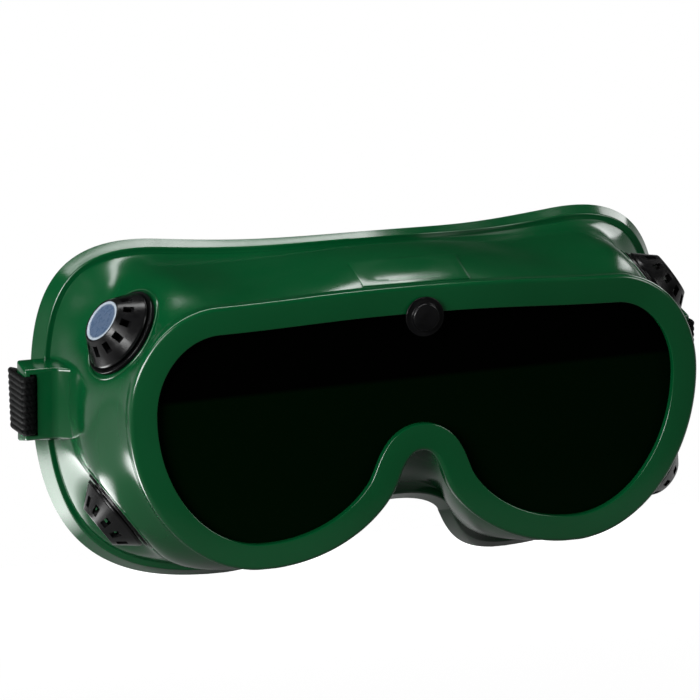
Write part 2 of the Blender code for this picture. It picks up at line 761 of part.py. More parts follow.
def cap_mesh():
    """A windowed cone with a recess on top for the disc."""
    foot = cap_foot()
    top = foot + CAP_HEIGHT
    collar = foot + CLIP_RING_HEIGHT - GAP
    floor = top - DISC_THICKNESS - GAP
    ceiling = floor - CAP_WALL
    slope = (CAP_FOOT_RADIUS - CAP_TOP_RADIUS) / (top - collar)
    inside = CAP_FOOT_RADIUS - CAP_WALL
    recess = DISC_RADIUS + GAP
    profile = [
        (0, floor), (recess, floor), (recess, top), (CAP_TOP_RADIUS, top),
        (CAP_FOOT_RADIUS, collar), (CAP_FOOT_RADIUS, foot), (inside, foot), (inside, collar),
        (inside - slope * (ceiling - collar), ceiling), (0, ceiling)]
    cap = add_cutter("cap blank", turned_mesh("cap", profile, CAP_STEPS), None)
    boolean(cap, "DIFFERENCE", add_cutter("windows", window_mesh(top), None))
    return applied_mesh(cap, "vent_cap")


def seat_mesh():
    """A flanged sleeve with a barbed end, and a core on four spokes inside it."""
    seat = GAP + SEAT_FLANGE_THICKNESS
    ring = seat + CLIP_RING_HEIGHT
    shoulder = -BOSS_LENGTH - 2 * GAP - RETAINER_THICKNESS
    end = shoulder - SLEEVE_WALL
    barb = SLEEVE_RADIUS + 2 * GAP
    inner = SLEEVE_RADIUS - SLEEVE_WALL
    profile = [
        (CLIP_RING_RADIUS, ring), (CLIP_RING_RADIUS, seat), (SEAT_FLANGE_RADIUS, seat),
        (SEAT_FLANGE_RADIUS, GAP), (SLEEVE_RADIUS, GAP), (SLEEVE_RADIUS, shoulder),
        (barb, shoulder), (SLEEVE_RADIUS, end), (inner, end), (inner, ring)]
    blank = add_cutter("seat blank", turned_mesh("seat", profile, CAP_STEPS), None)
    core_top = cap_foot() + CAP_HEIGHT - DISC_THICKNESS - CAP_WALL - 3 * GAP
    core = cylinder_mesh("core", CORE_RADIUS, -SPOKE_WIDTH, core_top)
    boolean(blank, "UNION", add_cutter("core", core, None))
    reach = inner + SLEEVE_WALL / 2
    half = SPOKE_WIDTH / 2
    for name, span_x, span_y in (("x", reach, half), ("y", half, reach)):
        spoke = box_mesh("spoke", (-span_x, -span_y, -SPOKE_WIDTH * 1.5), (span_x, span_y, half))
        boolean(blank, "UNION", add_cutter(f"spoke {name}", spoke, None))
    return applied_mesh(blank, "vent_seat")


def retainer_mesh():
    top = -BOSS_LENGTH - GAP
    bore = SLEEVE_RADIUS + GAP
    return turned_mesh("vent_retainer", [
        (RETAINER_RADIUS, top), (RETAINER_RADIUS, top - RETAINER_THICKNESS),
        (bore, top - RETAINER_THICKNESS), (bore, top)])


def disc_mesh():
    top = cap_foot() + CAP_HEIGHT
    bottom = top - DISC_THICKNESS
    return turned_mesh("vent_disc", [
        (0, top), (DISC_RADIUS - GAP, top), (DISC_RADIUS, top - GAP), (DISC_RADIUS, bottom),
        (0, bottom)])


def applied_mesh(obj, name):
    """The object's mesh with its modifiers applied; the object goes."""
    bpy.context.view_layer.update()
    evaluated = obj.evaluated_get(bpy.context.evaluated_depsgraph_get())
    mesh = bpy.data.meshes.new_from_object(evaluated)
    mesh.name = name
    bpy.data.objects.remove(obj, do_unlink=True)
    return mesh


def add_vents(frames):
    seat, cap, disc, retainer = seat_mesh(), cap_mesh(), disc_mesh(), retainer_mesh()
    for name, frame in frames:
        add_part(f"vent_seat_{name}", seat.copy(), BLACK_PLASTIC, frame)
        add_part(f"vent_cap_{name}", cap.copy(), BLACK_PLASTIC, frame)
        add_part(f"vent_disc_{name}", disc.copy(), PALE_DISC, frame)
        add_part(f"vent_retainer_{name}", retainer.copy(), BLACK_PLASTIC, frame)


# ---------------------------------------------------------------- strap and sliders

def smooth(t):
    return t * t * (3 - 2 * t)


def heading(turn, pitch):
    """Unit direction on the right-hand side: turned in from straight back, and raised."""
    return Vector((-math.sin(turn) * math.cos(pitch), math.cos(turn) * math.cos(pitch),
                   math.sin(pitch)))


class StrapRoute:
    """The right half of the strap's centre line, from the bar to the middle of the back."""

    def __init__(self, lean):
        self.lean = lean
        self.bar_axis = lean.to_3x3() @ Vector((0, 0, 1))
        self.offset = GAP + STRAP_THICKNESS / 2
        self.slot_out = slot_edges()[1]
        self.bar_out = RIM_HALF_WIDTH + FLANGE_SIDE_OUT + LUG_REACH
        self.bar_back = lug_back()
        sagged = self.at_lug(0, self.bar_back).z - STRAP_SAG
        low, high = 0.0, math.radians(60)
        while high - low > EPSILON:
            self.droop = (low + high) / 2
            above = self.back()[-1][0].z > sagged
            low, high = (self.droop, high) if above else (low, self.droop)

    def at_lug(self, x, y):
        return self.lean @ Vector((x, y, -LUG_DROP))

    def bend(self):
        """From the bar's outer side, turning in and starting to droop: (point, direction, up)."""
        start_pitch = math.asin((self.lean.to_3x3() @ Vector((0, 1, 0))).z)
        point = self.at_lug(self.bar_out + self.offset, self.bar_back)
        route = []
        step = STRAP_BEND / BEND_STEPS
        for i in range(BEND_STEPS + 1):
            share = math.sin(math.pi / 2 * i / BEND_STEPS)
            direction = heading(STRAP_TURN_IN * share,
                                start_pitch * (1 - share) - self.droop * share)
            up = self.bar_axis.lerp(Vector((0, 0, 1)), share)
            route.append((point.copy(), direction, up))
            point += direction * step
        return route

    def straight(self):
        point, direction, up = self.bend()[-1]
        return point, direction, up

    def back(self):
        """Round the back to the middle, levelling out on the way."""
        point, direction, up = self.straight()
        point = point + direction * STRAP_STRAIGHT
        radius = point.x / math.cos(STRAP_TURN_IN)
        centre_y = point.y - radius * math.sin(STRAP_TURN_IN)
        sweep = math.pi / 2 - STRAP_TURN_IN
        height = point.z
        route = []
        for i in range(BACK_STEPS + 1):
            share = i / BACK_STEPS
            turn = STRAP_TURN_IN + sweep * share
            pitch = -self.droop * (1 - share)
            if i:
                middle = -self.droop * (1 - share + 0.5 / BACK_STEPS)
                height += math.tan(middle) * radius * sweep / BACK_STEPS
            place = Vector((radius * math.cos(turn), centre_y + radius * math.sin(turn), height))
            route.append((place, heading(turn, pitch), up))
        return route

    def wrap(self):
        """From the slot's back, round the front of the bar, to the back of its outer side."""
        back_y = self.bar_back
        front_y = lug_front()
        flat = [(self.slot_out - self.offset, back_y, 0.0, -1.0)]
        for corner_x, start in ((self.slot_out, math.pi), (self.bar_out, 1.5 * math.pi)):
            for i in range(WRAP_STEPS + 1):
                angle = start + math.pi / 2 * i / WRAP_STEPS
                flat.append((corner_x + self.offset * math.cos(angle),
                             front_y + self.offset * math.sin(angle),
                             -math.sin(angle), math.cos(angle)))
        turn = self.lean.to_3x3()
        return [(self.at_lug(x, y), turn @ Vector((dx, dy, 0)), self.bar_axis)
                for x, y, dx, dy in flat]

    def layer_offset(self):
        """From the outer layer to the doubled one beneath it, on the straight stretch."""
        point, direction, up = self.straight()
        return direction.cross(up).normalized() * -(STRAP_THICKNESS + STRAP_LAYER_GAP)

    def tail(self):
        """From the doubled end, forward along the straight, and down into the slot."""
        point, direction, up = self.straight()
        join = point + self.layer_offset()
        slot_point, slot_direction, bar_up = self.wrap()[0]
        route = [(join + direction * STRAP_TAIL, -direction, up)]
        reach = (join - slot_point).length
        start_pull, end_pull = -direction * reach, slot_direction * reach
        for i in range(BEND_STEPS):
            t = i / BEND_STEPS
            place = (join * smooth(1 - t) + slot_point * smooth(t)
                     + start_pull * (t * (1 - t) ** 2) - end_pull * (t * t * (1 - t)))
            towards = (join - slot_point) * (-6 * t * (1 - t))
            towards += start_pull * ((1 - t) * (1 - 3 * t)) + end_pull * (t * (3 * t - 2))
            route.append((place, towards.normalized(), up.lerp(bar_up, smooth(t))))
        return route

    def half(self):
        return self.tail() + self.wrap() + self.bend() + self.back()


def strap_rows(route):
    """Four corners of the webbing at each point of the right half and of its mirror."""
    rows = []
    for point, direction, up in route:
        out = direction.cross(up).normalized() * (STRAP_THICKNESS / 2)
        wide = out.cross(direction).normalized() * (STRAP_WIDTH / 2)
        rows.append([point + out + wide, point - out + wide, point - out - wide,
                     point + out - wide])
    mirrored = [[Vector((-p.x, p.y, p.z)) for p in row] for row in reversed(rows[:-1])]
    return rows + mirrored


def add_strap(route, root):
    rows = strap_rows(route.half())

    def build(bm):
        made = [[bm.verts.new(point) for point in row] for row in rows]
        for row, following in zip(made, made[1:]):
            for i in range(4):
                j = (i + 1) % 4
                bm.faces.new((row[i], row[j], following[j], following[i]))
        bm.faces.new(made[0])
        bm.faces.new(made[-1])
    add_part("head_strap", mesh_from("head_strap", build), BLACK_ELASTIC, root)


def slider_mesh():
    """A keeper with two outer rails and one inner rail, round both layers of the strap."""
    channel = STRAP_LAYER_GAP / 2 + STRAP_THICKNESS + GAP
    width = STRAP_WIDTH / 2 + GAP
    half = SLIDER_LENGTH / 2
    depth = channel + SLIDER_BAR
    side = width + SLIDER_SIDE
    far = SLIDER_LENGTH
    blank = add_cutter("slider blank", box_mesh(
        "slider", (-half, -depth, -side), (half, depth, side)), None)
    bevel(blank, SLIDER_EDGE_RADIUS)
    rail = SLIDER_RAIL
    cuts = {
        "channel": ((-far, -channel, -width), (far, channel, width)),
        "outer window": ((rail - half, 0, -width), (half - rail, far, width)),
        "inner end": ((rail / 2, -far, -width), (far, 0, width)),
        "inner start": ((-far, -far, -width), (-rail / 2, 0, width)),
    }
    for name, (low, high) in cuts.items():
        boolean(blank, "DIFFERENCE", add_cutter(name, box_mesh(name, low, high), None))
    return applied_mesh(blank, "strap_slider")


def add_sliders(route, root):
    mesh = slider_mesh()
    point, direction, up = route.straight()
    middle = point + route.layer_offset() / 2 + direction * SLIDER_PLACE
    out = direction.cross(up).normalized()
    for side, mirror in (("right", 1), ("left", -1)):
        place = Vector((mirror * middle.x, middle.y, middle.z))
        along = Vector((mirror * direction.x, direction.y, direction.z))
        outer = Vector((mirror * out.x, out.y, out.z))
        columns = Matrix((along, outer, along.cross(outer))).transposed().to_4x4()
        frame = new_empty(f"slider_{side}_frame", root, Matrix.Translation(place) @ columns)
        add_part(f"strap_slider_{side}", mesh.copy(), BLACK_PLASTIC, frame)


# ---------------------------------------------------------------- assembly

def resting_lean(body):
    """The face frame's lean and lift that stand the rim and the flange on the floor."""
    rim = body.rim_ring(0, RIM_EDGE_RADIUS)
    flange = body.flange_ring(0, WALL / 2)

    def lowest(ring, lean):
        return float(np.min(ring[:, 1] * math.sin(lean) + ring[:, 2] * math.cos(lean)))
    low, high = 0.0, math.radians(45)
    while high - low > EPSILON / 10:
        lean = (low + high) / 2
        low, high = (lean, high) if lowest(flange, lean) < lowest(rim, lean) else (low, lean)
    lift = -min(lowest(rim, lean), lowest(flange, lean))
    return Matrix.Translation((0, 0, lift)) @ Matrix.Rotation(lean, 4, "X")


def centre_over_origin(root):
    """Moves the whole assembly so that the middle of its box is over the origin."""
    bpy.context.view_layer.update()
    graph = bpy.context.evaluated_depsgraph_get()
    depths = []
    for obj in parts.objects:
        if obj.type == "MESH":
            evaluated = obj.evaluated_get(graph)
            depths += [(evaluated.matrix_world @ v.co).y for v in evaluated.data.vertices]
    root.location.y -= (min(depths) + max(depths)) / 2
    bpy.context.view_layer.update()


def main():
    body = Body()
    root = new_empty("goggles")
    lean = resting_lean(body)
    face = new_empty("face", root, lean)
    stud_frame = new_empty("stud_frame", face, Matrix.Translation((0, 0, -STUD_DROP))
                           @ Matrix.Rotation(math.pi / 2, 4, "X"))
    frames = [(name, new_empty(f"vent_frame_{name}", face, matrix))
              for name, matrix in vent_frames(body)]
    add_body(body, face, frames, stud_frame)
    add_lens(body, face, stud_frame)
    add_stud(stud_frame)
    add_vents(frames)
    route = StrapRoute(lean)
    add_strap(route, root)
    add_sliders(route, root)
    centre_over_origin(root)


clear_scene()
parts = new_collection("welding_goggles")
cutters = new_collection("cutters")
main()
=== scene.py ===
# Welding goggles: the dressed part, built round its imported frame.
import json
import math
import bmesh
import bpy
import numpy as np
from mathutils import Matrix, Vector


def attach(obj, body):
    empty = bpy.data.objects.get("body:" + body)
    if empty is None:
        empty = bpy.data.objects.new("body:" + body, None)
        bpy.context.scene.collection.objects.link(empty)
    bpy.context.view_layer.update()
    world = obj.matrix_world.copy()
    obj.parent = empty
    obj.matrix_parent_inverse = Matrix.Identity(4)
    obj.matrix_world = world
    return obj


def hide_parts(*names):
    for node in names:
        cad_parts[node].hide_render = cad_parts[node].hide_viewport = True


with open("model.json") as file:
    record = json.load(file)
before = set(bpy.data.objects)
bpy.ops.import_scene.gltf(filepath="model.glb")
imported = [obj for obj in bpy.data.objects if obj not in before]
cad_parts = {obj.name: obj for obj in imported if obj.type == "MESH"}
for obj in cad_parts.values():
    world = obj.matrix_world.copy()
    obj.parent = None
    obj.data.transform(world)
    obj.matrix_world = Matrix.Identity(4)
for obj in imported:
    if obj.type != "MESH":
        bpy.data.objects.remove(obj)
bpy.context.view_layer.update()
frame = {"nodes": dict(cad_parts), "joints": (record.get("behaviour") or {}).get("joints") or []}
joints = {joint["name"]: joint for joint in frame["joints"]}
scene = bpy.context.scene
print("stage: frame loaded with", len(frame["nodes"]), "nodes")

clearance = 0.0003       # free room between two pieces, in metres
nearly = 1e-6            # lengths below this count as none, in metres
roundFacets = 96         # facets round a turned piece
pinFacets = 48           # facets round a slender one
cornerLimit = 0.49       # a soft corner takes at most this share of the sides next to it
closeEnough = 0.00001    # where a search by halving stops
sides = {"right": 1, "left": -1}


# helpers that any piece may use

def smoothStep(value):
    value = np.clip(value, 0, 1)
    return value * value * (3 - 2 * value)


def hermite(a, b, pullA, pullB, t):
    # a smooth way from a to b that leaves and arrives along the two pulls
    s = 1 - t
    return (a * ((1 + 2 * t) * s * s) + b * (t * t * (3 - 2 * t)) + pullA * (t * s * s)
            - pullB * (t * t * s))


def mirrored(vector, mirror):
    return Vector((mirror * vector.x, vector.y, vector.z))


def placed(mesh, matrix):
    copy = mesh.copy()
    copy.transform(matrix)
    return copy


def finishPiece(name, mesh, body, slot, node, place=Matrix.Identity(4), smoothAngle=38):
    mesh = placed(mesh, place)
    piece = bpy.data.objects.new(name, mesh)
    scene.collection.objects.link(piece)
    mesh.materials.clear()
    mesh.materials.append(materials[slot])
    mesh.shade_smooth()
    mesh.set_sharp_from_angle(angle=math.radians(smoothAngle))
    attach(piece, body)
    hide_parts(node)
    return piece


def meshFrom(name, build):
    bm = bmesh.new()
    build(bm)
    bmesh.ops.recalc_face_normals(bm, faces=bm.faces)
    mesh = bpy.data.meshes.new(name)
    bm.to_mesh(mesh)
    bm.free()
    return mesh


def ringsToMesh(name, rings, closed=True):
    # closed joins the last ring to the first; otherwise each end that isn't a point gets a face
    def build(bm):
        rows = [[bm.verts.new(point) for point in ring] for ring in rings]
        for upper, lower in zip(rows, rows[1:] + rows[:1] * closed):
            count = max(len(upper), len(lower))
            for i in range(count):
                j = (i + 1) % count
                corners = [upper[i % len(upper)], upper[j % len(upper)],
                           lower[j % len(lower)], lower[i % len(lower)]]
                bm.faces.new([c for k, c in enumerate(corners) if c not in corners[:k]])
        for end in (rows[0], rows[-1]):
            if not closed and len(end) > 1:
                bm.faces.new(end)
    return meshFrom(name, build)


def softCorners(points, steps=4):
    # points are (radius, height) or (radius, height, corner radius)
    result = []
    for i, point in enumerate(points):
        here, cut = Vector(point[:2]), point[2] if len(point) > 2 else 0
        if not cut:
            result.append(here)
            continue
        before, after = (Vector(points[k % len(points)][:2]) - here for k in (i - 1, i + 1))
        cut = min(cut, before.length * cornerLimit, after.length * cornerLimit)
        first, last = here + before.normalized() * cut, here + after.normalized() * cut
        for t in (j / steps for j in range(steps + 1)):
            result.append(first * (1 - t) ** 2 + here * (2 * t * (1 - t)) + last * t * t)
    return result


def turnedMesh(name, points, facets=roundFacets, steps=4):
    # the profile runs down its outer side; one that starts off the axis is a closed ring
    angles = [math.tau * i / facets for i in range(facets)]
    rings = [[(radius * math.cos(a), radius * math.sin(a), height)
              for a in (angles if radius > nearly else angles[:1])]
             for radius, height in softCorners(points, steps)]
    return ringsToMesh(name, rings, closed=points[0][0] > nearly)


def boxMesh(name, low, high):
    low, high = Vector(low), Vector(high)
    spot = Matrix.Translation((low + high) / 2) @ Matrix.Diagonal((*(high - low), 1))
    return meshFrom(name, lambda bm: bmesh.ops.create_cube(bm, size=1, matrix=spot))


def joined(meshes):
    bm = bmesh.new()
    for mesh in meshes:
        bm.from_mesh(mesh)
    whole = bpy.data.meshes.new("joined")
    bm.to_mesh(whole)
    bm.free()
    return whole


def changed(mesh, kind, inputs=None, **settings):
    # the plain mesh that one modifier makes of this one
    holder = bpy.data.objects.new("holder", mesh)
    scene.collection.objects.link(holder)
    modifier = holder.modifiers.new("change", kind)
    for key, value in settings.items():
        setattr(modifier, key, value)
    for key, value in (inputs or {}).items():
        modifier[key] = value
    graph = bpy.context.evaluated_depsgraph_get()
    result = bpy.data.meshes.new_from_object(holder.evaluated_get(graph))
    bpy.data.objects.remove(holder, do_unlink=True)
    return result


def carved(mesh, operation, other):
    tool = bpy.data.objects.new("tool", other)
    scene.collection.objects.link(tool)
    result = changed(mesh, "BOOLEAN", operation=operation, solver="EXACT", object=tool)
    bpy.data.objects.remove(tool, do_unlink=True)
    return result


def edgesRounded(mesh, width, angle=40):
    return changed(mesh, "BEVEL", width=width, segments=3, limit_method="ANGLE",
                   angle_limit=math.radians(angle))


# materials

class Wiring:
    # a few words for wiring nodes of any kind
    def __init__(self, tree):
        self.tree, self.nodes, self.links = tree, tree.nodes, tree.links

    def add(self, kind, inputs=None, **settings):
        node = self.nodes.new(kind)
        for key, value in settings.items():
            setattr(node, key, value)
        for key, value in (inputs or {}).items():
            self.feed(node.inputs[key], value)
        return node

    def feed(self, socket, value):
        if isinstance(value, bpy.types.Node):
            value = value.outputs[0]
        if isinstance(value, bpy.types.NodeSocket):
            self.links.new(value, socket)
        else:
            socket.default_value = value

    def maths(self, operation, *values):
        node = self.add("ShaderNodeMath", operation=operation)
        for socket, value in zip(node.inputs, values):
            self.feed(socket, value)
        return node.outputs[0]

    def humps(self, value):
        return self.maths("ABSOLUTE", self.maths("SINE", self.maths("MULTIPLY", value, math.pi)))

    def ramp(self, factor, low, high, fromLow=0.0, fromHigh=1.0):
        return self.add("ShaderNodeMapRange", {
            "Value": factor, "From Min": fromLow, "From Max": fromHigh, "To Min": low,
            "To Max": high}).outputs[0]

    def place(self, kind="Object"):
        return self.add("ShaderNodeTexCoord").outputs[kind]

    def apart(self, vector):
        return self.add("ShaderNodeSeparateXYZ", {"Vector": vector}).outputs

    def rayKinds(self):
        # camera rays, and rays mirrored by gloss or sent through glass
        path = self.add("ShaderNodeLightPath").outputs
        return path["Is Camera Ray"], self.maths("MAXIMUM", path["Is Glossy Ray"],
                                                 path["Is Transmission Ray"])


class Finish(Wiring):
    # the nodes of one material
    def __init__(self, name):
        self.material = bpy.data.materials.new(name)
        self.material.use_nodes = True
        super().__init__(self.material.node_tree)
        self.shader = self.nodes["Principled BSDF"]

    def noise(self, size, detail=3.0, roughness=0.5):
        return self.add("ShaderNodeTexNoise", {
            "Vector": self.place(), "Scale": 1 / size, "Detail": detail,
            "Roughness": roughness}).outputs["Fac"]

    def blend(self, factor, first, second):
        node = self.add("ShaderNodeMix", data_type="RGBA")
        for key, value in (("Factor", factor), ("A", first), ("B", second)):
            self.feed(node.inputs[key], (*value, 1) if isinstance(value, tuple) else value)
        return node.outputs["Result"]

    def bump(self, height, distance, normal=None):
        inputs = {"Height": height, "Distance": distance, "Strength": 1.0}
        if normal is not None:
            inputs["Normal"] = normal
        return self.add("ShaderNodeBump", inputs).outputs["Normal"]

    def surface(self, **values):
        for key, value in values.items():
            self.feed(self.shader.inputs[key.replace("_", " ")], value)
        return self.material


class Growth(Wiring):
    # a Geometry Nodes tree with named inputs
    def __init__(self, name, inputs, takesMesh=False):
        super().__init__(bpy.data.node_groups.new(name, "GeometryNodeTree"))
        if takesMesh:
            self.socket("Geometry", "Geometry")
        for label, value in inputs.items():
            self.socket(label, "Int" if isinstance(value, int) else "Float").default_value = value
        self.socket("Geometry", "Geometry", "OUTPUT")
        self.given = self.add("NodeGroupInput").outputs

    def socket(self, label, kind, way="INPUT"):
        return self.tree.interface.new_socket(label, in_out=way, socket_type="NodeSocket" + kind)

    def finished(self, geometry, material):
        plain = self.add("GeometryNodeRealizeInstances", {"Geometry": geometry})
        painted = self.add("GeometryNodeSetMaterial", {"Geometry": plain, "Material": material})
        self.add("NodeGroupOutput", {"Geometry": painted})
        return self.tree


def grown(tree, values, mesh=None):
    # the plain mesh that a node tree makes with these input values
    inputs = {item.identifier: values[item.name] for item in tree.interface.items_tree
              if item.name in values}
    return changed(mesh or bpy.data.meshes.new("seed"), "NODES", inputs, node_group=tree)


pvcLook = {
    "deep": (0.0004, 0.0440, 0.0115), "bright": (0.0008, 0.0530, 0.0145), "gloss": 0.48,
    "rough": (0.14, 0.22), "cloudContrast": (0.3, 0.7), "smearContrast": (0.3, 0.7),
    "waveHeight": 0.00025, "grainHeight": 0.000006,
    # noises: size, detail, roughness
    "clouds": (0.045, 2.0), "smears": (0.012, 4.0, 0.6), "waves": (0.030, 1.0),
    "grain": (0.0006, 2.0),
}
blackLook = {
    "deep": (0.0022, 0.0022, 0.0024), "bright": (0.0045, 0.0045, 0.0048), "gloss": 0.21,
    "rough": (0.18, 0.28), "cloudContrast": (0.35, 0.65), "smearContrast": (0.3, 0.7),
    "grainHeight": 0.000008, "clouds": (0.006,), "smears": (0.003,), "grain": (0.0004, 2.0),
}


def makeCloudy(name, look):
    # two tints in soft clouds, a smeared gloss and a fine grain, on waves where there are any
    tree = Finish(name)
    clouds = tree.ramp(tree.noise(*look["clouds"]), 0, 1, *look["cloudContrast"])
    smears = tree.ramp(tree.noise(*look["smears"]), *look["rough"], *look["smearContrast"])
    waves = tree.bump(tree.noise(*look["waves"]), look["waveHeight"]) if "waves" in look else None
    return tree.surface(
        Base_Color=tree.blend(clouds, look["deep"], look["bright"]), Roughness=smears,
        Normal=tree.bump(tree.noise(*look["grain"]), look["grainHeight"], waves),
        Specular_IOR_Level=look["gloss"])


# the lower tint is a painted reflection in the lens's lower part; the upper tint is the lens's own
# near-black
lensLook = {"upper": (0.0002, 0.0003, 0.0002), "lower": (0.0003, 0.0026, 0.0005), "gloss": 0.01,
            "slant": 0.018, "turnsAt": (0.0456, 0.0468), "clouds": (0.03, 2.0),
            "shade": (0.85, 1.15), "smears": (0.02,), "rough": (0.03, 0.07),
            "smearContrast": (0.3, 0.7)}


def makeLens():
    # two tints that meet along a line that climbs a little to the right: the lens's own near-black
    # above, and below it a dark green painted reflection
    look, tree = lensLook, Finish("darkLens")
    place = tree.apart(tree.place())
    slanted = tree.maths("SUBTRACT", place["Z"], tree.maths("MULTIPLY", place["X"], look["slant"]))
    shade = tree.maths("MULTIPLY", tree.ramp(slanted, 1.0, 0.0, *look["turnsAt"]),
                       tree.ramp(tree.noise(*look["clouds"]), *look["shade"]))
    smears = tree.ramp(tree.noise(*look["smears"]), *look["rough"], *look["smearContrast"])
    return tree.surface(Base_Color=tree.blend(shade, look["upper"], look["lower"]),
                        Roughness=smears, Specular_IOR_Level=look["gloss"])


# the disc's colours are a painted reflection of the sky on a black top, in random spots, and the
# whiter rim colour is a painted highlight round its edge
discLook = {"centre": (0.050, 0.082, 0.140), "spots": (0.064, 0.094, 0.150),
            "rim": (0.300, 0.350, 0.400), "mottle": (0.0016, 3.0, 0.65),
            "mottleContrast": (0.35, 0.65), "rough": (0.22, 0.36), "smearContrast": (0.3, 0.7),
            "grainHeight": 0.00002}


def makeDisc():
    # the pale lavender is a painted reflection, and the rim colour, laid on by the edge attribute,
    # is a painted highlight
    look, tree = discLook, Finish("discPaintedReflection")
    mottle = tree.noise(*look["mottle"])
    spots = tree.ramp(mottle, 0, 1, *look["mottleContrast"])
    edge = tree.add("ShaderNodeAttribute", attribute_name="edge").outputs["Fac"]
    return tree.surface(
        Base_Color=tree.blend(edge, tree.blend(spots, look["centre"], look["spots"]), look["rim"]),
        Roughness=tree.ramp(mottle, *look["rough"], *look["smearContrast"]),
        Normal=tree.bump(mottle, look["grainHeight"]))


# the crown colour and the darker valley colour paint light on the cords and shade between them
webbingLook = {"litCrown": (0.0018, 0.0022, 0.0022), "shadedValley": (0.0006, 0.0006, 0.0007),
               "ribs": 10, "weftPitch": 0.0011, "weftHeight": 0.00012, "weftSlant": 0.9,
               "crownBase": 0.25, "fuzz": (0.0002, 2.0), "fuzzShade": (0.7, 1.3),
               "fuzzHeight": 0.00003, "contrast": (0.1, 1.1), "rough": 0.62, "sheen": 0.01,
               "sheenRough": 0.4, "gloss": 0.06}


def makeWebbing():
    # lengthwise cords of slanted yarn, every other one half a stitch further on
    look, tree = webbingLook, Finish("blackElastic")
    place = tree.apart(tree.add("ShaderNodeUVMap", uv_map="weave"))
    ribPlace = tree.maths("MULTIPLY", place["Y"], float(look["ribs"]))
    parity = tree.maths("MODULO", tree.maths("FLOOR", ribPlace), 2.0)
    offMiddle = tree.maths("ABSOLUTE", tree.maths("SUBTRACT", tree.maths("FRACT", ribPlace), 0.5))
    stitch = tree.maths("ADD", tree.maths("DIVIDE", place["X"], look["weftPitch"]),
                        tree.maths("ADD", tree.maths("MULTIPLY", parity, 0.5),
                                   tree.maths("MULTIPLY", offMiddle, look["weftSlant"])))
    height = tree.maths("MULTIPLY", tree.humps(ribPlace),
                        tree.maths("ADD", tree.humps(stitch), look["crownBase"]))
    fuzz = tree.noise(*look["fuzz"])
    # the crowns are painted lighter and the valleys darker: painted shade between the cords,
    # varied at random by the fuzz
    lit = tree.maths("MULTIPLY", height, tree.ramp(fuzz, *look["fuzzShade"]))
    return tree.surface(
        Base_Color=tree.blend(tree.ramp(lit, 0, 1, *look["contrast"]), look["shadedValley"],
                              look["litCrown"]),
        Normal=tree.bump(fuzz, look["fuzzHeight"], tree.bump(height, look["weftHeight"])),
        Roughness=look["rough"], Sheen_Weight=look["sheen"], Sheen_Roughness=look["sheenRough"],
        Specular_IOR_Level=look["gloss"])


materials = {"green_pvc": makeCloudy("greenPvc", pvcLook), "dark_lens": makeLens(),
             "black_plastic": makeCloudy("blackPlastic", blackLook), "pale_disc": makeDisc(),
             "black_elastic": makeWebbing()}
print("stage: materials ready")


# the body's outlines

rimSizes = {
    "halfWidth": 0.0800, "height": 0.0731, "widestDrop": 0.0300, "shoulderX": 0.0560,
    "shoulderDrop": 0.0020, "lobeX": 0.0440, "apexDrop": 0.0445, "flankX": 0.0080,
    "flankDrop": 0.0553, "flankLean": math.radians(30), "depth": 0.0040, "edgeRadius": 0.0012,
    "backRadius": 0.0003, "grooveRadius": 0.00035, "bow": 0.0040,
    "bands": (0.0074, 0.0074, 0.0074, 0.0070, 0.0074, 0.0074),
}
lensSizes = {"frontLip": 0.0020, "thickness": 0.0026, "bite": 0.0028, "rearLip": 0.0018,
             "columns": 180, "rows": 8, "leastHeight": 0.00001}
skirtSizes = {
    "wall": 0.0022, "step": 0.0010, "waistShare": 0.70, "swell": (0.90, 0.35, 0.90),
    "flangeBand": 0.0032, "flangeBandDepth": 0.0052, "bandStep": 0.0006, "bandLean": 0.6,
    "bandShares": (0.62, 0.80, 1.0, 1.0, 1.0, 1.0), "tuck": 0.0007, "tuckStart": 0.70,
    "flangeDepths": (0.0380, 0.0510, 0.0565, 0.0500, 0.0270, 0.0210),
}
outlineShifts = {
    # how far each outline's anchors lie outside the rim's, its slope and its roundness
    "rim": {"top": 0, "shoulder": 0, "side": 0, "bottom": 0, "flankOut": 0, "flankDrop": 0,
            "notch": 0, "roundness": (0.55, 0.55),
            "climb": -rimSizes["shoulderDrop"] / rimSizes["shoulderX"]},
    "waist": {"top": 0.0060, "shoulder": 0.0020, "side": -0.0003, "bottom": 0.0060,
              "flankOut": 0.0032, "flankDrop": 0.00635, "notch": 0.0095, "climb": 0,
              "roundness": (0.58, 0.74)},
    "flange": {"top": 0.0074, "shoulder": 0.0088, "side": 0.0100, "bottom": 0.0127,
               "flankOut": 0.0064, "flankDrop": 0.0127, "notch": 0.0175,
               "climb": math.radians(5), "roundness": (0.74, 0.71)},
}
outlineSteps = (20, 40, 48, 38, 22)
handles = {"top": 0.45, "lobe": 0.55, "flank": 0.45, "apex": 0.60}


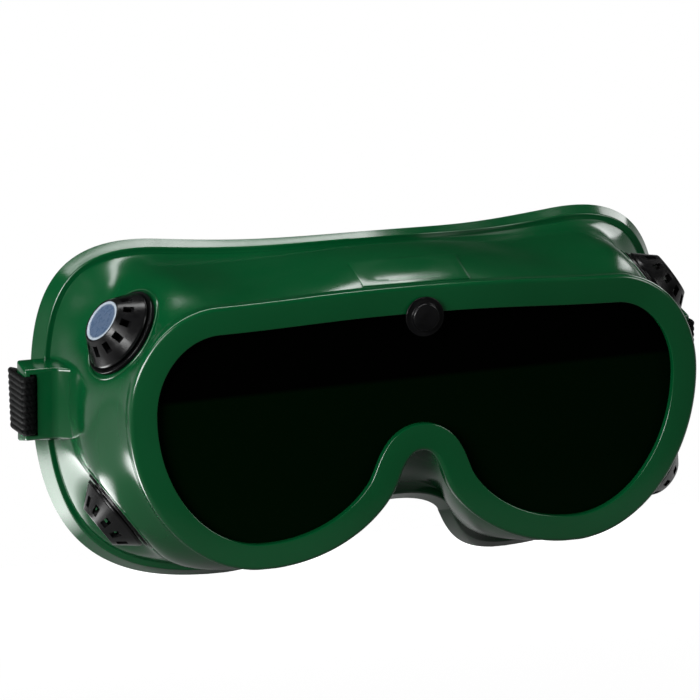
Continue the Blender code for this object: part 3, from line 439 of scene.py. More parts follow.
def outlineForm(top, shoulder, side, bottom, flankOut, flankDrop, notch, climb, roundness):
    # five cubic stretches of the right half, from the top centre to the notch, in (x, z)
    rim, (upper, lower), lean = rimSizes, roundness, rimSizes["flankLean"]
    shoulder = np.array((rim["shoulderX"], shoulder - rim["shoulderDrop"]))
    side = np.array((rim["halfWidth"] + side, -rim["widestDrop"]))
    lobe = np.array((rim["lobeX"], -rim["height"] - bottom))
    flank = np.array((rim["flankX"] + flankOut, -rim["flankDrop"] - flankDrop))
    start, end = np.array((0.0, top)), np.array((0.0, -rim["apexDrop"] - notch))
    slope = np.array((math.cos(climb), math.sin(climb)))
    upFlank = np.array((-math.sin(lean), math.cos(lean)))
    right, down = np.array((1.0, 0.0)), np.array((0.0, -1.0))
    topRun = shoulder[0] * handles["top"]
    lobeRun = (lobe[0] - flank[0]) * handles["lobe"]
    flankRun = (flank[1] - lobe[1]) * handles["flank"]
    notchRun = (end[1] - flank[1]) * handles["flank"]
    return (
        (start, start + right * topRun, shoulder - slope * topRun, shoulder),
        (shoulder, shoulder + slope * upper * (side[0] - shoulder[0]),
         side - down * upper * (shoulder[1] - side[1]), side),
        (side, side + down * lower * (side[1] - lobe[1]),
         lobe + right * lower * (side[0] - lobe[0]), lobe),
        (lobe, lobe - right * lobeRun, flank - upFlank * flankRun, flank),
        (flank, flank + upFlank * notchRun, end + right * flank[0] * handles["apex"], end),
    )


def closedOutline(form):
    half = []
    for (a, b, c, d), steps in zip(form, outlineSteps):
        t = (np.arange(steps) / steps).reshape(-1, 1)
        s = 1 - t
        half.append(a * s ** 3 + b * 3 * s * s * t + c * 3 * s * t * t + d * t ** 3)
    half = np.vstack(half + [form[-1][-1].reshape(1, 2)])
    return np.vstack([half, half[-2:0:-1] * (-1, 1)])


def inwardNormals(outline):
    ahead = np.roll(outline, -1, axis=0) - outline
    behind = outline - np.roll(outline, 1, axis=0)
    aheadLength = np.linalg.norm(ahead, axis=1, keepdims=True)
    behindLength = np.linalg.norm(behind, axis=1, keepdims=True)
    along = ahead / aheadLength * behindLength + behind / behindLength * aheadLength
    along /= np.linalg.norm(along, axis=1, keepdims=True)
    return np.stack([along[:, 1], -along[:, 0]], axis=1)


def alongOutline(values):
    # one value for each point of the outline, smooth through the six anchor values
    values = np.array(values, dtype=float)
    rises = np.diff(values)
    slopes = np.zeros(len(values))
    for i in range(1, len(values) - 1):
        if rises[i - 1] * rises[i] > 0:
            slopes[i] = 2 * rises[i - 1] * rises[i] / (rises[i - 1] + rises[i])
    half = []
    for i, steps in enumerate(outlineSteps):
        half.append(hermite(values[i], values[i + 1], slopes[i], slopes[i + 1],
                            np.arange(steps) / steps))
    half = np.concatenate(half + [values[-1:]])
    return np.concatenate([half, half[-2:0:-1]])


def bowAt(x):
    return rimSizes["bow"] * (x / rimSizes["halfWidth"]) ** 2


rimOutline, waistOutline, flangeOutline = (closedOutline(outlineForm(**shifts))
                                           for shifts in outlineShifts.values())
rimInward, flangeInward = inwardNormals(rimOutline), inwardNormals(flangeOutline)


flangeDepth = alongOutline(skirtSizes["flangeDepths"])
bandWidth = alongOutline(rimSizes["bands"])


def ringOf(outline, depth):
    return np.stack([outline[:, 0], depth + outline[:, 0] * 0, outline[:, 1]], axis=1)


def rimRing(inset, depth):
    outline = rimOutline + rimInward * np.reshape(inset, (-1, 1))
    return ringOf(outline, depth + bowAt(outline[:, 0]))


def flangeRing(inset, forward):
    return ringOf(flangeOutline + flangeInward * inset, flangeDepth - forward)


skirtStart = rimRing(skirtSizes["step"], rimSizes["depth"] + clearance)
skirtWaist = ringOf(waistOutline, rimSizes["depth"]
                    + (flangeDepth - rimSizes["depth"]) * skirtSizes["waistShare"])
skirtNeck = flangeRing(skirtSizes["flangeBand"], skirtSizes["flangeBandDepth"])
skirtLead = skirtStart + (skirtWaist - skirtStart) * np.array(skirtSizes["swell"])


def skirtRing(t, inset=0.0, neck=skirtNeck):
    s = 1 - t
    ring = (skirtStart * s ** 3 + skirtLead * (3 * s * s * t)
            + skirtWaist * (3 * s * t * t) + neck * t ** 3)
    if inset:
        ring = ring + ringOf(inwardNormals(ring[:, [0, 2]]) * inset, 0.0)
    return ring


def wallPoint(drop, depth):
    # the point of the right-hand wall at this depth, this far below the rim's top
    low, high = 0.0, 1.0
    while high - low > closeEnough:
        t = (low + high) / 2
        half = skirtRing(t)[:len(rimOutline) // 2]
        rising = half[half[:, 0] > rimSizes["lobeX"]][::-1]
        x, y = (float(np.interp(-drop, rising[:, 2], rising[:, i])) for i in (0, 1))
        low, high = (t, high) if y < depth else (low, t)
    return Vector((x, y, -drop))


# where the vents sit, and the face's place in the frame

ventPlaces = {
    "upper": {"drop": 0.0117, "depth": 0.0250, "angle": math.radians(34.7),
              "lean": math.radians(7.0), "sunk": 0.0014},
    "lower": {"drop": 0.0606, "depth": 0.0280, "angle": math.radians(-37.5),
              "lean": math.radians(-6.0), "sunk": 0.0014},
}


def ventFrames():
    frames = {}
    for level, place in ventPlaces.items():
        flat = Vector((math.cos(place["angle"]), 0, math.sin(place["angle"])))
        axis = (flat * math.cos(place["lean"])
                - Vector((0, math.sin(place["lean"]), 0))).normalized()
        seat = wallPoint(place["drop"], place["depth"]) - axis * place["sunk"]
        for side, mirror in sides.items():
            turn = mirrored(axis, mirror).to_track_quat("Z", "Y").to_matrix().to_4x4()
            frames[f"{level}_{side}"] = Matrix.Translation(mirrored(seat, mirror)) @ turn
    return frames


vents = ventFrames()
pull = Vector(joints["lens_stud_pull"]["axis"])
leanAngle = math.atan2(-pull.z, -pull.y)
leanTurn = Matrix.Rotation(leanAngle, 4, "X")
ventHome = Vector(joints["cap_upper_right_turn"]["pos_m"])
face = Matrix.Translation(ventHome - leanTurn @ vents["upper_right"].translation) @ leanTurn
print("stage: outlines ready, lean", round(math.degrees(leanAngle), 3),
      "face at", [round(v, 5) for v in face.translation])


# the moulded body

bossSizes = {
    "radius": 0.0134, "length": 0.0060, "podReach": 0.0152, "lipHeight": 0.00025,
    "lipTube": 0.00045, "seatRadius": 0.0121, "sleeveRadius": 0.0082, "innerReach": 0.0175,
    "farRise": 0.0300, "outerEase": (0.14, 0.10), "innerEase": (0.20, 0.10), "lipFacets": 12,
}
grooveBack = lensSizes["frontLip"] + lensSizes["thickness"] + 2 * clearance
lipBack = grooveBack + lensSizes["rearLip"]
tabBack = lipBack + clearance
bandShare = alongOutline(skirtSizes["bandShares"])
dressedNeck = flangeRing((bandShare * skirtSizes["flangeBand"]).reshape(-1, 1),
                         bandShare * skirtSizes["flangeBandDepth"])


def wallRing(t, inset=0.0):
    # the dressed wall, which tucks in a little before its band
    tucked = skirtSizes["tuck"] * float(smoothStep((t - skirtSizes["tuckStart"])
                                                   / (1 - skirtSizes["tuckStart"])))
    return skirtRing(t, inset + tucked, dressedNeck)


def bandRing(share, lift):
    # a ring on the flange's band, from its inner line to the flange's rounded edge
    edge = flangeRing(0, skirtSizes["wall"] / 2)
    ring = dressedNeck * (1 - share) + edge * share
    out = ringOf(-flangeInward, -skirtSizes["bandLean"])
    return ring + out / np.linalg.norm(out, axis=1, keepdims=True) * lift


wallFit = {
    # rows of points under the vents, at the wall's edges and in its still middle, thinned out
    "underRows": (0.06, 0.94, 36), "edgeRows": (0.0, 0.05, 0.97, 1.0),
    "stillRows": (0.15, 0.85, 6), "underEvery": 2, "edgeEvery": 3, "stillEvery": 4,
    "underRise": 0.0150, "stillX": 0.0300, "freeX": 0.0480, "scale": 20,
    "startEase": 0.05, "endEase": 0.03,
}


def spread(points, centres):
    # the cubed distances and the linear terms of a smooth fit through the centres
    gaps = np.linalg.norm(points[:, None, :] - centres[None, :, :], axis=2) * wallFit["scale"]
    return np.hstack([gaps ** 3, np.ones((len(points), 1)), points])


def fromVent(points, matrix):
    # each point's height over a vent's plane, its distance from the vent's axis, and that axis
    axis = np.array(matrix.col[2][:3])
    offset = points - np.array(matrix.translation)
    rise = offset @ axis
    return rise, np.linalg.norm(offset - rise.reshape(-1, 1) * axis, axis=1), axis


def wallShift():
    # fits the smoothest shift that holds the wall's edges and lays it flat under the right vents
    fit, half, spots, shifts = wallFit, len(rimOutline) // 2, [], []
    for t in np.linspace(*fit["underRows"]):
        ring = wallRing(t)[:half]
        for matrix in (vents["upper_right"], vents["lower_right"]):
            rise, radius, axis = fromVent(ring, matrix)
            under = (radius < bossSizes["radius"] + clearance) & (abs(rise) < fit["underRise"])
            shift = (bossSizes["lipHeight"] - rise[under]).reshape(-1, 1) * axis
            spots.append(ring[under][::fit["underEvery"]])
            shifts.append(shift[::fit["underEvery"]])
    held = [wallRing(t)[:half:fit["edgeEvery"]] for t in fit["edgeRows"]]
    for t in np.linspace(*fit["stillRows"]):
        still = wallRing(t)[:half:fit["stillEvery"]]
        held.append(still[still[:, 0] < fit["freeX"]])
    centres = np.vstack(spots + held)
    wanted = np.vstack(shifts + [ring * 0 for ring in held] + [np.zeros((4, 3))])
    known = spread(centres, centres)
    near, plain = known[:, :len(centres)], known[:, len(centres):]
    whole = np.block([[near, plain], [plain.T, np.zeros((4, 4))]])
    return centres, np.linalg.solve(whole, wanted)


shiftCentres, shiftWeights = wallShift()


def levelled(ring, t):
    # the ring moved by that shift, mirrored on the left side
    mirror = np.where(ring < 0, -1.0, 1.0)
    mirror[:, 1:] = 1.0
    shift = spread(ring * mirror, shiftCentres) @ shiftWeights * mirror
    free = (np.abs(ring[:, :1]) - wallFit["stillX"]) / (wallFit["freeX"] - wallFit["stillX"])
    return (ring + shift * smoothStep(free) * smoothStep(t / wallFit["startEase"])
            * smoothStep((1 - t) / wallFit["endEase"]))


def swollen(ring, height, reach, t, ease):
    # lays the wall quite flat round each vent at this height
    share = smoothStep(t / ease[0]) * smoothStep((1 - t) / ease[1])
    points, flat = ring.copy(), bossSizes["radius"] + clearance
    for matrix in vents.values():
        rise, radius, axis = fromVent(points, matrix)
        weight = 1 - smoothStep((radius - flat) / (reach - flat))
        weight = weight * share * (np.abs(rise) < bossSizes["farRise"])
        points += ((height - rise) * weight).reshape(-1, 1) * axis
    return points


def arcSteps(count, sweep=90):
    return [math.radians(sweep * i / count) for i in range(count + 1)]


outerRings, innerRings = 44, 30     # rings on the wall's outside and inside
bandProfile = ((0.01, 0.0), (0.03, 0.5), (0.06, 0.86), (0.11, 1.0), (0.18, 0.93), (0.5, 0.54),
               (0.8, 0.18))        # shares of the band's width and of its step


def bodyRings():
    rim, wall, front = rimSizes, skirtSizes["wall"], lensSizes["frontLip"]
    edge, soft, lip, back = rim["edgeRadius"], rim["backRadius"], rim["grooveRadius"], rim["depth"]
    grooveFloor = bandWidth - lensSizes["bite"]
    rings = [rimRing(edge * (1 - math.sin(a)), edge * (1 - math.cos(a))) for a in arcSteps(6)]
    rings += [rimRing(soft * (1 - math.cos(a)), back - soft * (1 - math.sin(a)))
              for a in arcSteps(3)]
    for t in [0.0, 0.01] + [i / outerRings for i in range(1, outerRings)] + [0.99, 1.0]:
        rings.append(swollen(levelled(wallRing(t), t), bossSizes["lipHeight"],
                             bossSizes["podReach"], t, bossSizes["outerEase"]))
    half = wall / 2
    rings += [bandRing(share, lift * skirtSizes["bandStep"]) for share, lift in bandProfile]
    rings += [flangeRing(half * (1 - math.cos(a)), half * (1 - math.sin(a)))
              for a in arcSteps(8, 180)]
    for t in (i / innerRings for i in range(innerRings, 0, -1)):
        rings.append(swollen(levelled(wallRing(t, wall), t), -bossSizes["length"],
                             bossSizes["innerReach"], t, bossSizes["innerEase"]))
    rings += [rimRing(inset, depth) for inset, depth in (
        (wall + skirtSizes["step"], lipBack), (bandWidth - lip, lipBack),
        (bandWidth, lipBack - lip), (bandWidth, grooveBack + lip / 2),
        (bandWidth - lip / 2, grooveBack), (grooveFloor, grooveBack), (grooveFloor, front),
        (bandWidth - lip / 2, front), (bandWidth, front - lip / 2))]
    rings += [rimRing(bandWidth - lip * (1 - math.cos(a)), lip * (1 - math.sin(a)))
              for a in arcSteps(4)]
    return rings


cavityShares = (0.1, 0.2, 0.35, 0.5, 0.65, 0.8, 0.9, 1.0)


def halfCavity():
    # fills the inside up to the middle of the wall, to trim what roots in it
    wall = skirtSizes["wall"]
    rings = [rimRing(skirtSizes["step"] + wall / 2, -wall)]
    rings += [levelled(wallRing(t, wall / 2), t) for t in cavityShares]
    rings.append(flangeRing(wall / 2, -wall))
    return ringsToMesh("half cavity", rings, closed=False)


lugSizes = {
    "drop": 0.0342, "height": 0.0190, "flare": 0.0015, "depth": 0.0070, "frontDepth": 0.0445,
    "rootDepth": 0.0400, "reach": 0.0052, "barWidth": 0.0015, "slotWidth": 0.0020,
    "edgeRadius": 0.0007, "rootRadius": 0.0012, "strapWidth": 0.0160,
}


def lugMeshes(cavity):
    # a block at each side that widens towards its back, and the slot that is cut through it
    lug, flangeX = lugSizes, rimSizes["halfWidth"] + outlineShifts["flange"]["side"]
    front, barX = lug["frontDepth"], flangeX + lug["reach"]
    bandX, back = flangeX - skirtSizes["flangeBand"], front + lug["depth"]
    slotOut = barX - lug["barWidth"]
    slotHalf = lug["strapWidth"] / 2 + clearance
    outline = softCorners([
        (rimSizes["halfWidth"], lug["rootDepth"]), (bandX, front, lug["rootRadius"]),
        (barX, front), (barX, back), (bandX, back),
        (rimSizes["halfWidth"] - lug["depth"], lug["rootDepth"])], steps=5)

    def corner(point, mirror, side):
        share = min(max((point.y - front) / lug["depth"], 0), 1)
        return (mirror * point.x, point.y,
                side * (lug["height"] / 2 + lug["flare"] * share) - lug["drop"])
    blocks, slots = [], []
    for mirror in sides.values():
        block = ringsToMesh("lug", [[corner(point, mirror, side) for point in outline]
                                    for side in (-1, 1)], closed=False)
        block = edgesRounded(block, lug["edgeRadius"], angle=30)
        blocks.append(carved(block, "DIFFERENCE", cavity))
        low, high = sorted((mirror * (slotOut - lug["slotWidth"]), mirror * slotOut))
        slots.append(boxMesh("slot", (low, front - lug["depth"], -lug["drop"] - slotHalf),
                             (high, back + lug["depth"], -lug["drop"] + slotHalf)))
    return blocks, slots


padSizes = {"width": 0.0300, "length": 0.0120, "proud": 0.00025, "edgeRadius": 0.0002,
            "samples": 400}
studSizes = {
    "drop": 0.0082, "headRadius": 0.0037, "headHeight": 0.0014, "flangeRadius": 0.0053,
    "flangeHeight": 0.0007, "shankRadius": 0.0018, "socketRadius": 0.0044,
    "socketHeight": 0.0018, "tabRadius": 0.0052, "crownShare": 0.45, "crownDrop": 0.00012,
    "shoulderDrop": 0.15, "flangeShare": 0.86,
}
studPlace = Matrix.Translation((0, 0, -studSizes["drop"])) @ Matrix.Rotation(math.pi / 2, 4, "X")


def pinMesh():
    # the round hole that the stud's shank goes through
    radius = studSizes["shankRadius"] + clearance
    return placed(turnedMesh("pin", [(0, tabBack), (radius, tabBack), (radius, -2 * tabBack),
                                     (0, -2 * tabBack)], pinFacets), studPlace)


def padMesh():
    # a bare raised pad on the top, just behind the rim
    rows = np.array([skirtRing(t)[0] for t in np.linspace(0, 1, padSizes["samples"])])
    start = rimSizes["depth"] + rimSizes["edgeRadius"]
    near, far = (Vector([float(np.interp(y, rows[:, 1], rows[:, i])) for i in range(3)])
                 for y in (start, start + padSizes["length"]))
    slope = math.atan2(far.z - near.z, far.y - near.y)
    place = Matrix.Translation(near) @ Matrix.Rotation(slope, 4, "X")
    half = padSizes["width"] / 2
    pad = boxMesh("pad", (-half, 0, -skirtSizes["wall"] / 2),
                  (half, padSizes["length"], padSizes["proud"]))
    return placed(edgesRounded(pad, padSizes["edgeRadius"]), place)


def makeBody():
    shell = ringsToMesh("bodyShell", bodyRings())
    blocks, slots = lugMeshes(halfCavity())
    boss, tube = bossSizes, bossSizes["lipTube"]
    radius, deep, lipRadius = boss["radius"], -3 * boss["length"], boss["radius"] - tube / 2
    turns = [math.tau * i / boss["lipFacets"] for i in range(boss["lipFacets"], 0, -1)]
    lip = turnedMesh("lip", [(lipRadius + tube * math.cos(a),
                              boss["lipHeight"] + tube * math.sin(a)) for a in turns])
    pocket, bore = boss["seatRadius"] + 2 * clearance, boss["sleeveRadius"] + clearance
    well = turnedMesh("well", [(0, radius), (pocket, radius), (pocket, 0), (bore, 0),
                               (bore, deep), (0, deep)])
    tabFront = -grooveBack - clearance / 2
    tab = turnedMesh("tab", [(0, tabFront), (studSizes["tabRadius"], tabFront),
                             (studSizes["tabRadius"], -tabBack, 0.0003), (0, -tabBack)])
    added = blocks + [padMesh(), placed(tab, studPlace)]
    added += [placed(lip, matrix) for matrix in vents.values()]
    cuts = slots + [pinMesh()] + [placed(well, matrix) for matrix in vents.values()]
    whole = carved(carved(shell, "UNION", joined(added)), "DIFFERENCE", joined(cuts))
    return finishPiece("bodyShell", whole, "face_piece", "green_pvc", "body_moulding", face)


bodyShell = makeBody()
print("stage: body ready with", len(bodyShell.data.polygons), "faces")


# lens, its stud and the ring behind it

def makeLensPlate():
    # a bowed plate of upright strips between the outline's lower and upper edge
    inset = bandWidth - lensSizes["bite"] + clearance
    outline = rimOutline + rimInward * np.reshape(inset, (-1, 1))
    right = outline[:len(outline) // 2 + 1]
    turn = int(np.argmax(right[:, 0]))
    upper, lower = right[:turn + 1], right[turn:][::-1]
    columns, rows = lensSizes["columns"], lensSizes["rows"]
    front = lensSizes["frontLip"] + clearance
    rings = []
    for i in range(columns + 1):
        x = float(right[turn, 0]) * math.sin(math.pi / 2 * (i / columns * 2 - 1))
        bottom, top = (float(np.interp(abs(x), edge[:, 0], edge[:, 1])) for edge in (lower, upper))
        rise = max(top - bottom, lensSizes["leastHeight"]) / rows
        rings.append([(x, depth + bowAt(x), bottom + rise * j) for depth, steps in (
            (front, range(rows + 1)), (front + lensSizes["thickness"], range(rows, -1, -1)))
            for j in steps])
    plate = carved(ringsToMesh("lensPlate", rings, closed=False), "DIFFERENCE", pinMesh())
    finishPiece("lensPlate", plate, "face_piece", "dark_lens", "lens", face)


def makeStud():
    stud, top = studSizes, clearance + studSizes["flangeHeight"] + studSizes["headHeight"]
    seat, head, wide = clearance + stud["flangeHeight"], stud["headRadius"], stud["flangeRadius"]
    ringFront, shank = -tabBack - clearance, stud["shankRadius"]
    ringBack, nose = ringFront - stud["socketHeight"], shank / 3
    tip, bore = ringBack - clearance, shank + clearance
    button = turnedMesh("studButton", [
        (0, top - stud["crownDrop"]), (head * stud["crownShare"], top, 0.0008),
        (head, top - stud["headHeight"] * stud["shoulderDrop"], 0.0011), (head, seat, 0.0002),
        (wide * stud["flangeShare"], seat - clearance / 2, 0.0004), (wide, seat, 0.00025),
        (wide, clearance, 0.0001), (shank, clearance), (shank, tip + nose, 0.0003),
        (shank - nose, tip), (0, tip)], steps=6)
    ring = turnedMesh("studRing", [
        (stud["socketRadius"], ringFront, 0.0003), (stud["socketRadius"], ringBack, 0.0004),
        (bore, ringBack, 0.0003), (bore, ringFront, 0.0002)])
    place = face @ studPlace
    finishPiece("studButton", button, "stud", "black_plastic", "lens_stud", place)
    finishPiece("studRing", ring, "face_piece", "black_plastic", "stud_socket", place)


makeLensPlate()
makeStud()
print("stage: lens and stud ready")


# vents: seat, windowed cap, disc and retaining ring

ventSizes = {
    "seatHeight": 0.0011, "sleeveWall": 0.0012, "clipRadius": 0.0093, "clipHeight": 0.0010,
    "coreRadius": 0.0050, "baffleRadius": 0.0064, "baffleTop": 0.0008, "spokeWidth": 0.0012,
    "ledgeDrop": 0.0003, "ledgeEnd": 0.0008, "ledgeTop": 0.0005, "footRadius": 0.0110,
    "topRadius": 0.0062, "capHeight": 0.0062, "capWall": 0.0012,
    "discRadius": 0.0057, "discHeight": 0.0008, "discHighlightShares": (0.84, 0.90),
    # shares of the disc's radius, drops from its top and corner radii
    "discDish": ((0, 0.00035), (0.60, 0.00033), (0.84, 0.0003, 0.0003),
                 (0.90, 0.00002, 0.0002), (1, 0, 0.00018)),
    "retainerRadius": 0.0108, "retainerHeight": 0.0016, "windowCount": 12,
    "windowWidth": 0.0019, "windowHeight": 0.0022, "windowDrop": 0.0011, "windowReach": 0.0070,
}
capFoot = 2 * clearance + ventSizes["seatHeight"]
capTop = capFoot + ventSizes["capHeight"]


def windowTree(values):
    # a ring of radial boxes that cut a cap's windows
    tree = Growth("windowRing", values)
    given = tree.given
    middle = tree.maths("ADD", given["Inner radius"], tree.maths("DIVIDE", given["Reach"], 2.0))
    circle = tree.add("GeometryNodeMeshCircle", {"Vertices": given["Window count"],
                                                 "Radius": middle})
    size = tree.add("ShaderNodeCombineXYZ", {"X": given["Reach"], "Y": given["Window width"],
                                             "Z": given["Window height"]})
    facing = tree.add("FunctionNodeAlignRotationToVector", {
        "Vector": tree.add("GeometryNodeInputPosition")}, axis="X", pivot_axis="Z")
    copies = tree.add("GeometryNodeInstanceOnPoints", {
        "Points": circle, "Instance": tree.add("GeometryNodeMeshCube", {"Size": size}),
        "Rotation": facing})
    lift = tree.add("ShaderNodeCombineXYZ", {"Z": given["Middle height"]})
    spin = tree.add("ShaderNodeCombineXYZ", {
        "Z": tree.maths("DIVIDE", math.pi, given["Window count"])})
    shift = tree.add("GeometryNodeTransform", {
        "Geometry": copies, "Translation": lift, "Rotation": spin})
    return tree.finished(shift, materials["black_plastic"])


def capMesh():
    vent = ventSizes
    collar = capFoot + vent["clipHeight"] - clearance
    floor = capTop - vent["discHeight"] - clearance
    ceiling = floor - vent["capWall"]
    slope = (vent["footRadius"] - vent["topRadius"]) / (capTop - collar)
    inside, recess = vent["footRadius"] - vent["capWall"], vent["discRadius"] + clearance / 2
    cap = turnedMesh("cap", [
        (0, floor), (recess, floor), (recess, capTop, 0.0001), (vent["topRadius"], capTop, 0.0002),
        (vent["footRadius"], collar, 0.0010), (vent["footRadius"], capFoot, 0.0002),
        (inside, capFoot), (inside, collar), (inside - slope * (ceiling - collar), ceiling),
        (0, ceiling)], steps=5)
    values = {
        "Window count": vent["windowCount"], "Window width": vent["windowWidth"],
        "Window height": vent["windowHeight"], "Reach": vent["windowReach"],
        "Inner radius": vent["discRadius"] + 2 * clearance,
        "Middle height": capTop - vent["windowDrop"] - vent["windowHeight"] / 2}
    return carved(cap, "DIFFERENCE", grown(windowTree(values), values))


def seatMesh():
    vent, outer, sleeve = ventSizes, bossSizes["seatRadius"], bossSizes["sleeveRadius"]
    seat = clearance + vent["seatHeight"]
    ring, inner = seat + vent["clipHeight"], sleeve - vent["sleeveWall"]
    shoulder = -bossSizes["length"] - 2 * clearance - vent["retainerHeight"]
    end, barb = shoulder - vent["sleeveWall"], sleeve + 2 * clearance
    ledge = seat - vent["ledgeDrop"]
    blank = turnedMesh("seat", [
        (vent["clipRadius"], ring, 0.0002), (vent["clipRadius"], ledge),
        (outer - vent["ledgeEnd"], ledge, 0.0004), (outer - vent["ledgeTop"], seat, 0.0002),
        (outer, seat, 0.0003),
        (outer, clearance, 0.0002), (sleeve, clearance), (sleeve, shoulder),
        (barb, shoulder, 0.0001), (sleeve, end, 0.0002), (inner, end, 0.0002),
        (inner, ring, 0.0002)])
    core, baffle, width = vent["coreRadius"], vent["baffleRadius"], vent["spokeWidth"]
    coreTop = capTop - vent["discHeight"] - vent["capWall"] - 3 * clearance
    middle = turnedMesh("core", [
        (0, coreTop), (core, coreTop, 0.0004), (core, vent["baffleTop"]),
        (baffle, vent["baffleTop"], 0.0002), (baffle, -width, 0.0002), (0, -width)], pinFacets)
    reach, half = inner + vent["sleeveWall"] / 2, width / 2
    for x, y in ((reach, half), (half, reach)):
        middle = carved(middle, "UNION", boxMesh("spoke", (-x, -y, -width * 1.5), (x, y, half)))
    return carved(blank, "UNION", middle)


def discMesh():
    vent = ventSizes
    bottom, radius = capTop - vent["discHeight"], vent["discRadius"]
    dish = [(radius * share, capTop - drop, *corner) for share, drop, *corner in vent["discDish"]]
    mesh = turnedMesh("disc", dish + [(radius, bottom), (0, bottom)])
    # the edge attribute marks the painted highlight ring near the disc's rim, between these shares
    # of its radius
    edge, (start, end) = mesh.attributes.new("edge", "FLOAT", "POINT"), vent["discHighlightShares"]
    for vertex, value in zip(mesh.vertices, edge.data):
        reach = math.hypot(vertex.co.x, vertex.co.y) / radius
        value.value = float(smoothStep((reach - start) / (end - start)))
    return mesh


def retainerMesh():
    vent = ventSizes
    top = -bossSizes["length"] - clearance
    low, bore = top - vent["retainerHeight"], bossSizes["sleeveRadius"] + clearance
    return turnedMesh("retainer", [(vent["retainerRadius"], top, 0.0003),
                                   (vent["retainerRadius"], low, 0.0005), (bore, low, 0.0003),
                                   (bore, top, 0.0002)])


def makeVents():
    kinds = {
        # mesh, material and whether it turns with the cap
        "seat": (seatMesh(), "black_plastic", False), "cap": (capMesh(), "black_plastic", True),
        "disc": (discMesh(), "pale_disc", True),
        "retainer": (retainerMesh(), "black_plastic", False),
    }
    for spot, matrix in vents.items():
        for kind, (mesh, slot, turns) in kinds.items():
            body = f"cap_{spot}" if turns else "face_piece"
            finishPiece(f"{kind}_{spot}", mesh, body, slot, f"vent_{kind}_{spot}", face @ matrix)


makeVents()
print("stage: four vents ready")


# strap

strapSizes = {
    "width": 0.0160, "thickness": 0.0010, "layerGap": 0.0004, "turnIn": math.radians(48),
    "bend": 0.0160, "straight": 0.0540, "tail": 0.0440, "sag": 0.0140,
    "bendSteps": 8, "backSteps": 12, "wrapSteps": 2, "ribDepth": 0.00022, "facetsPerRib": 6,
    "edgeShare": 0.25, "sampleLength": 0.0022, "mostDroop": math.radians(60),
}


def heading(turn, pitch):
    return Vector((-math.sin(turn) * math.cos(pitch), math.cos(turn) * math.cos(pitch),
                   math.sin(pitch)))


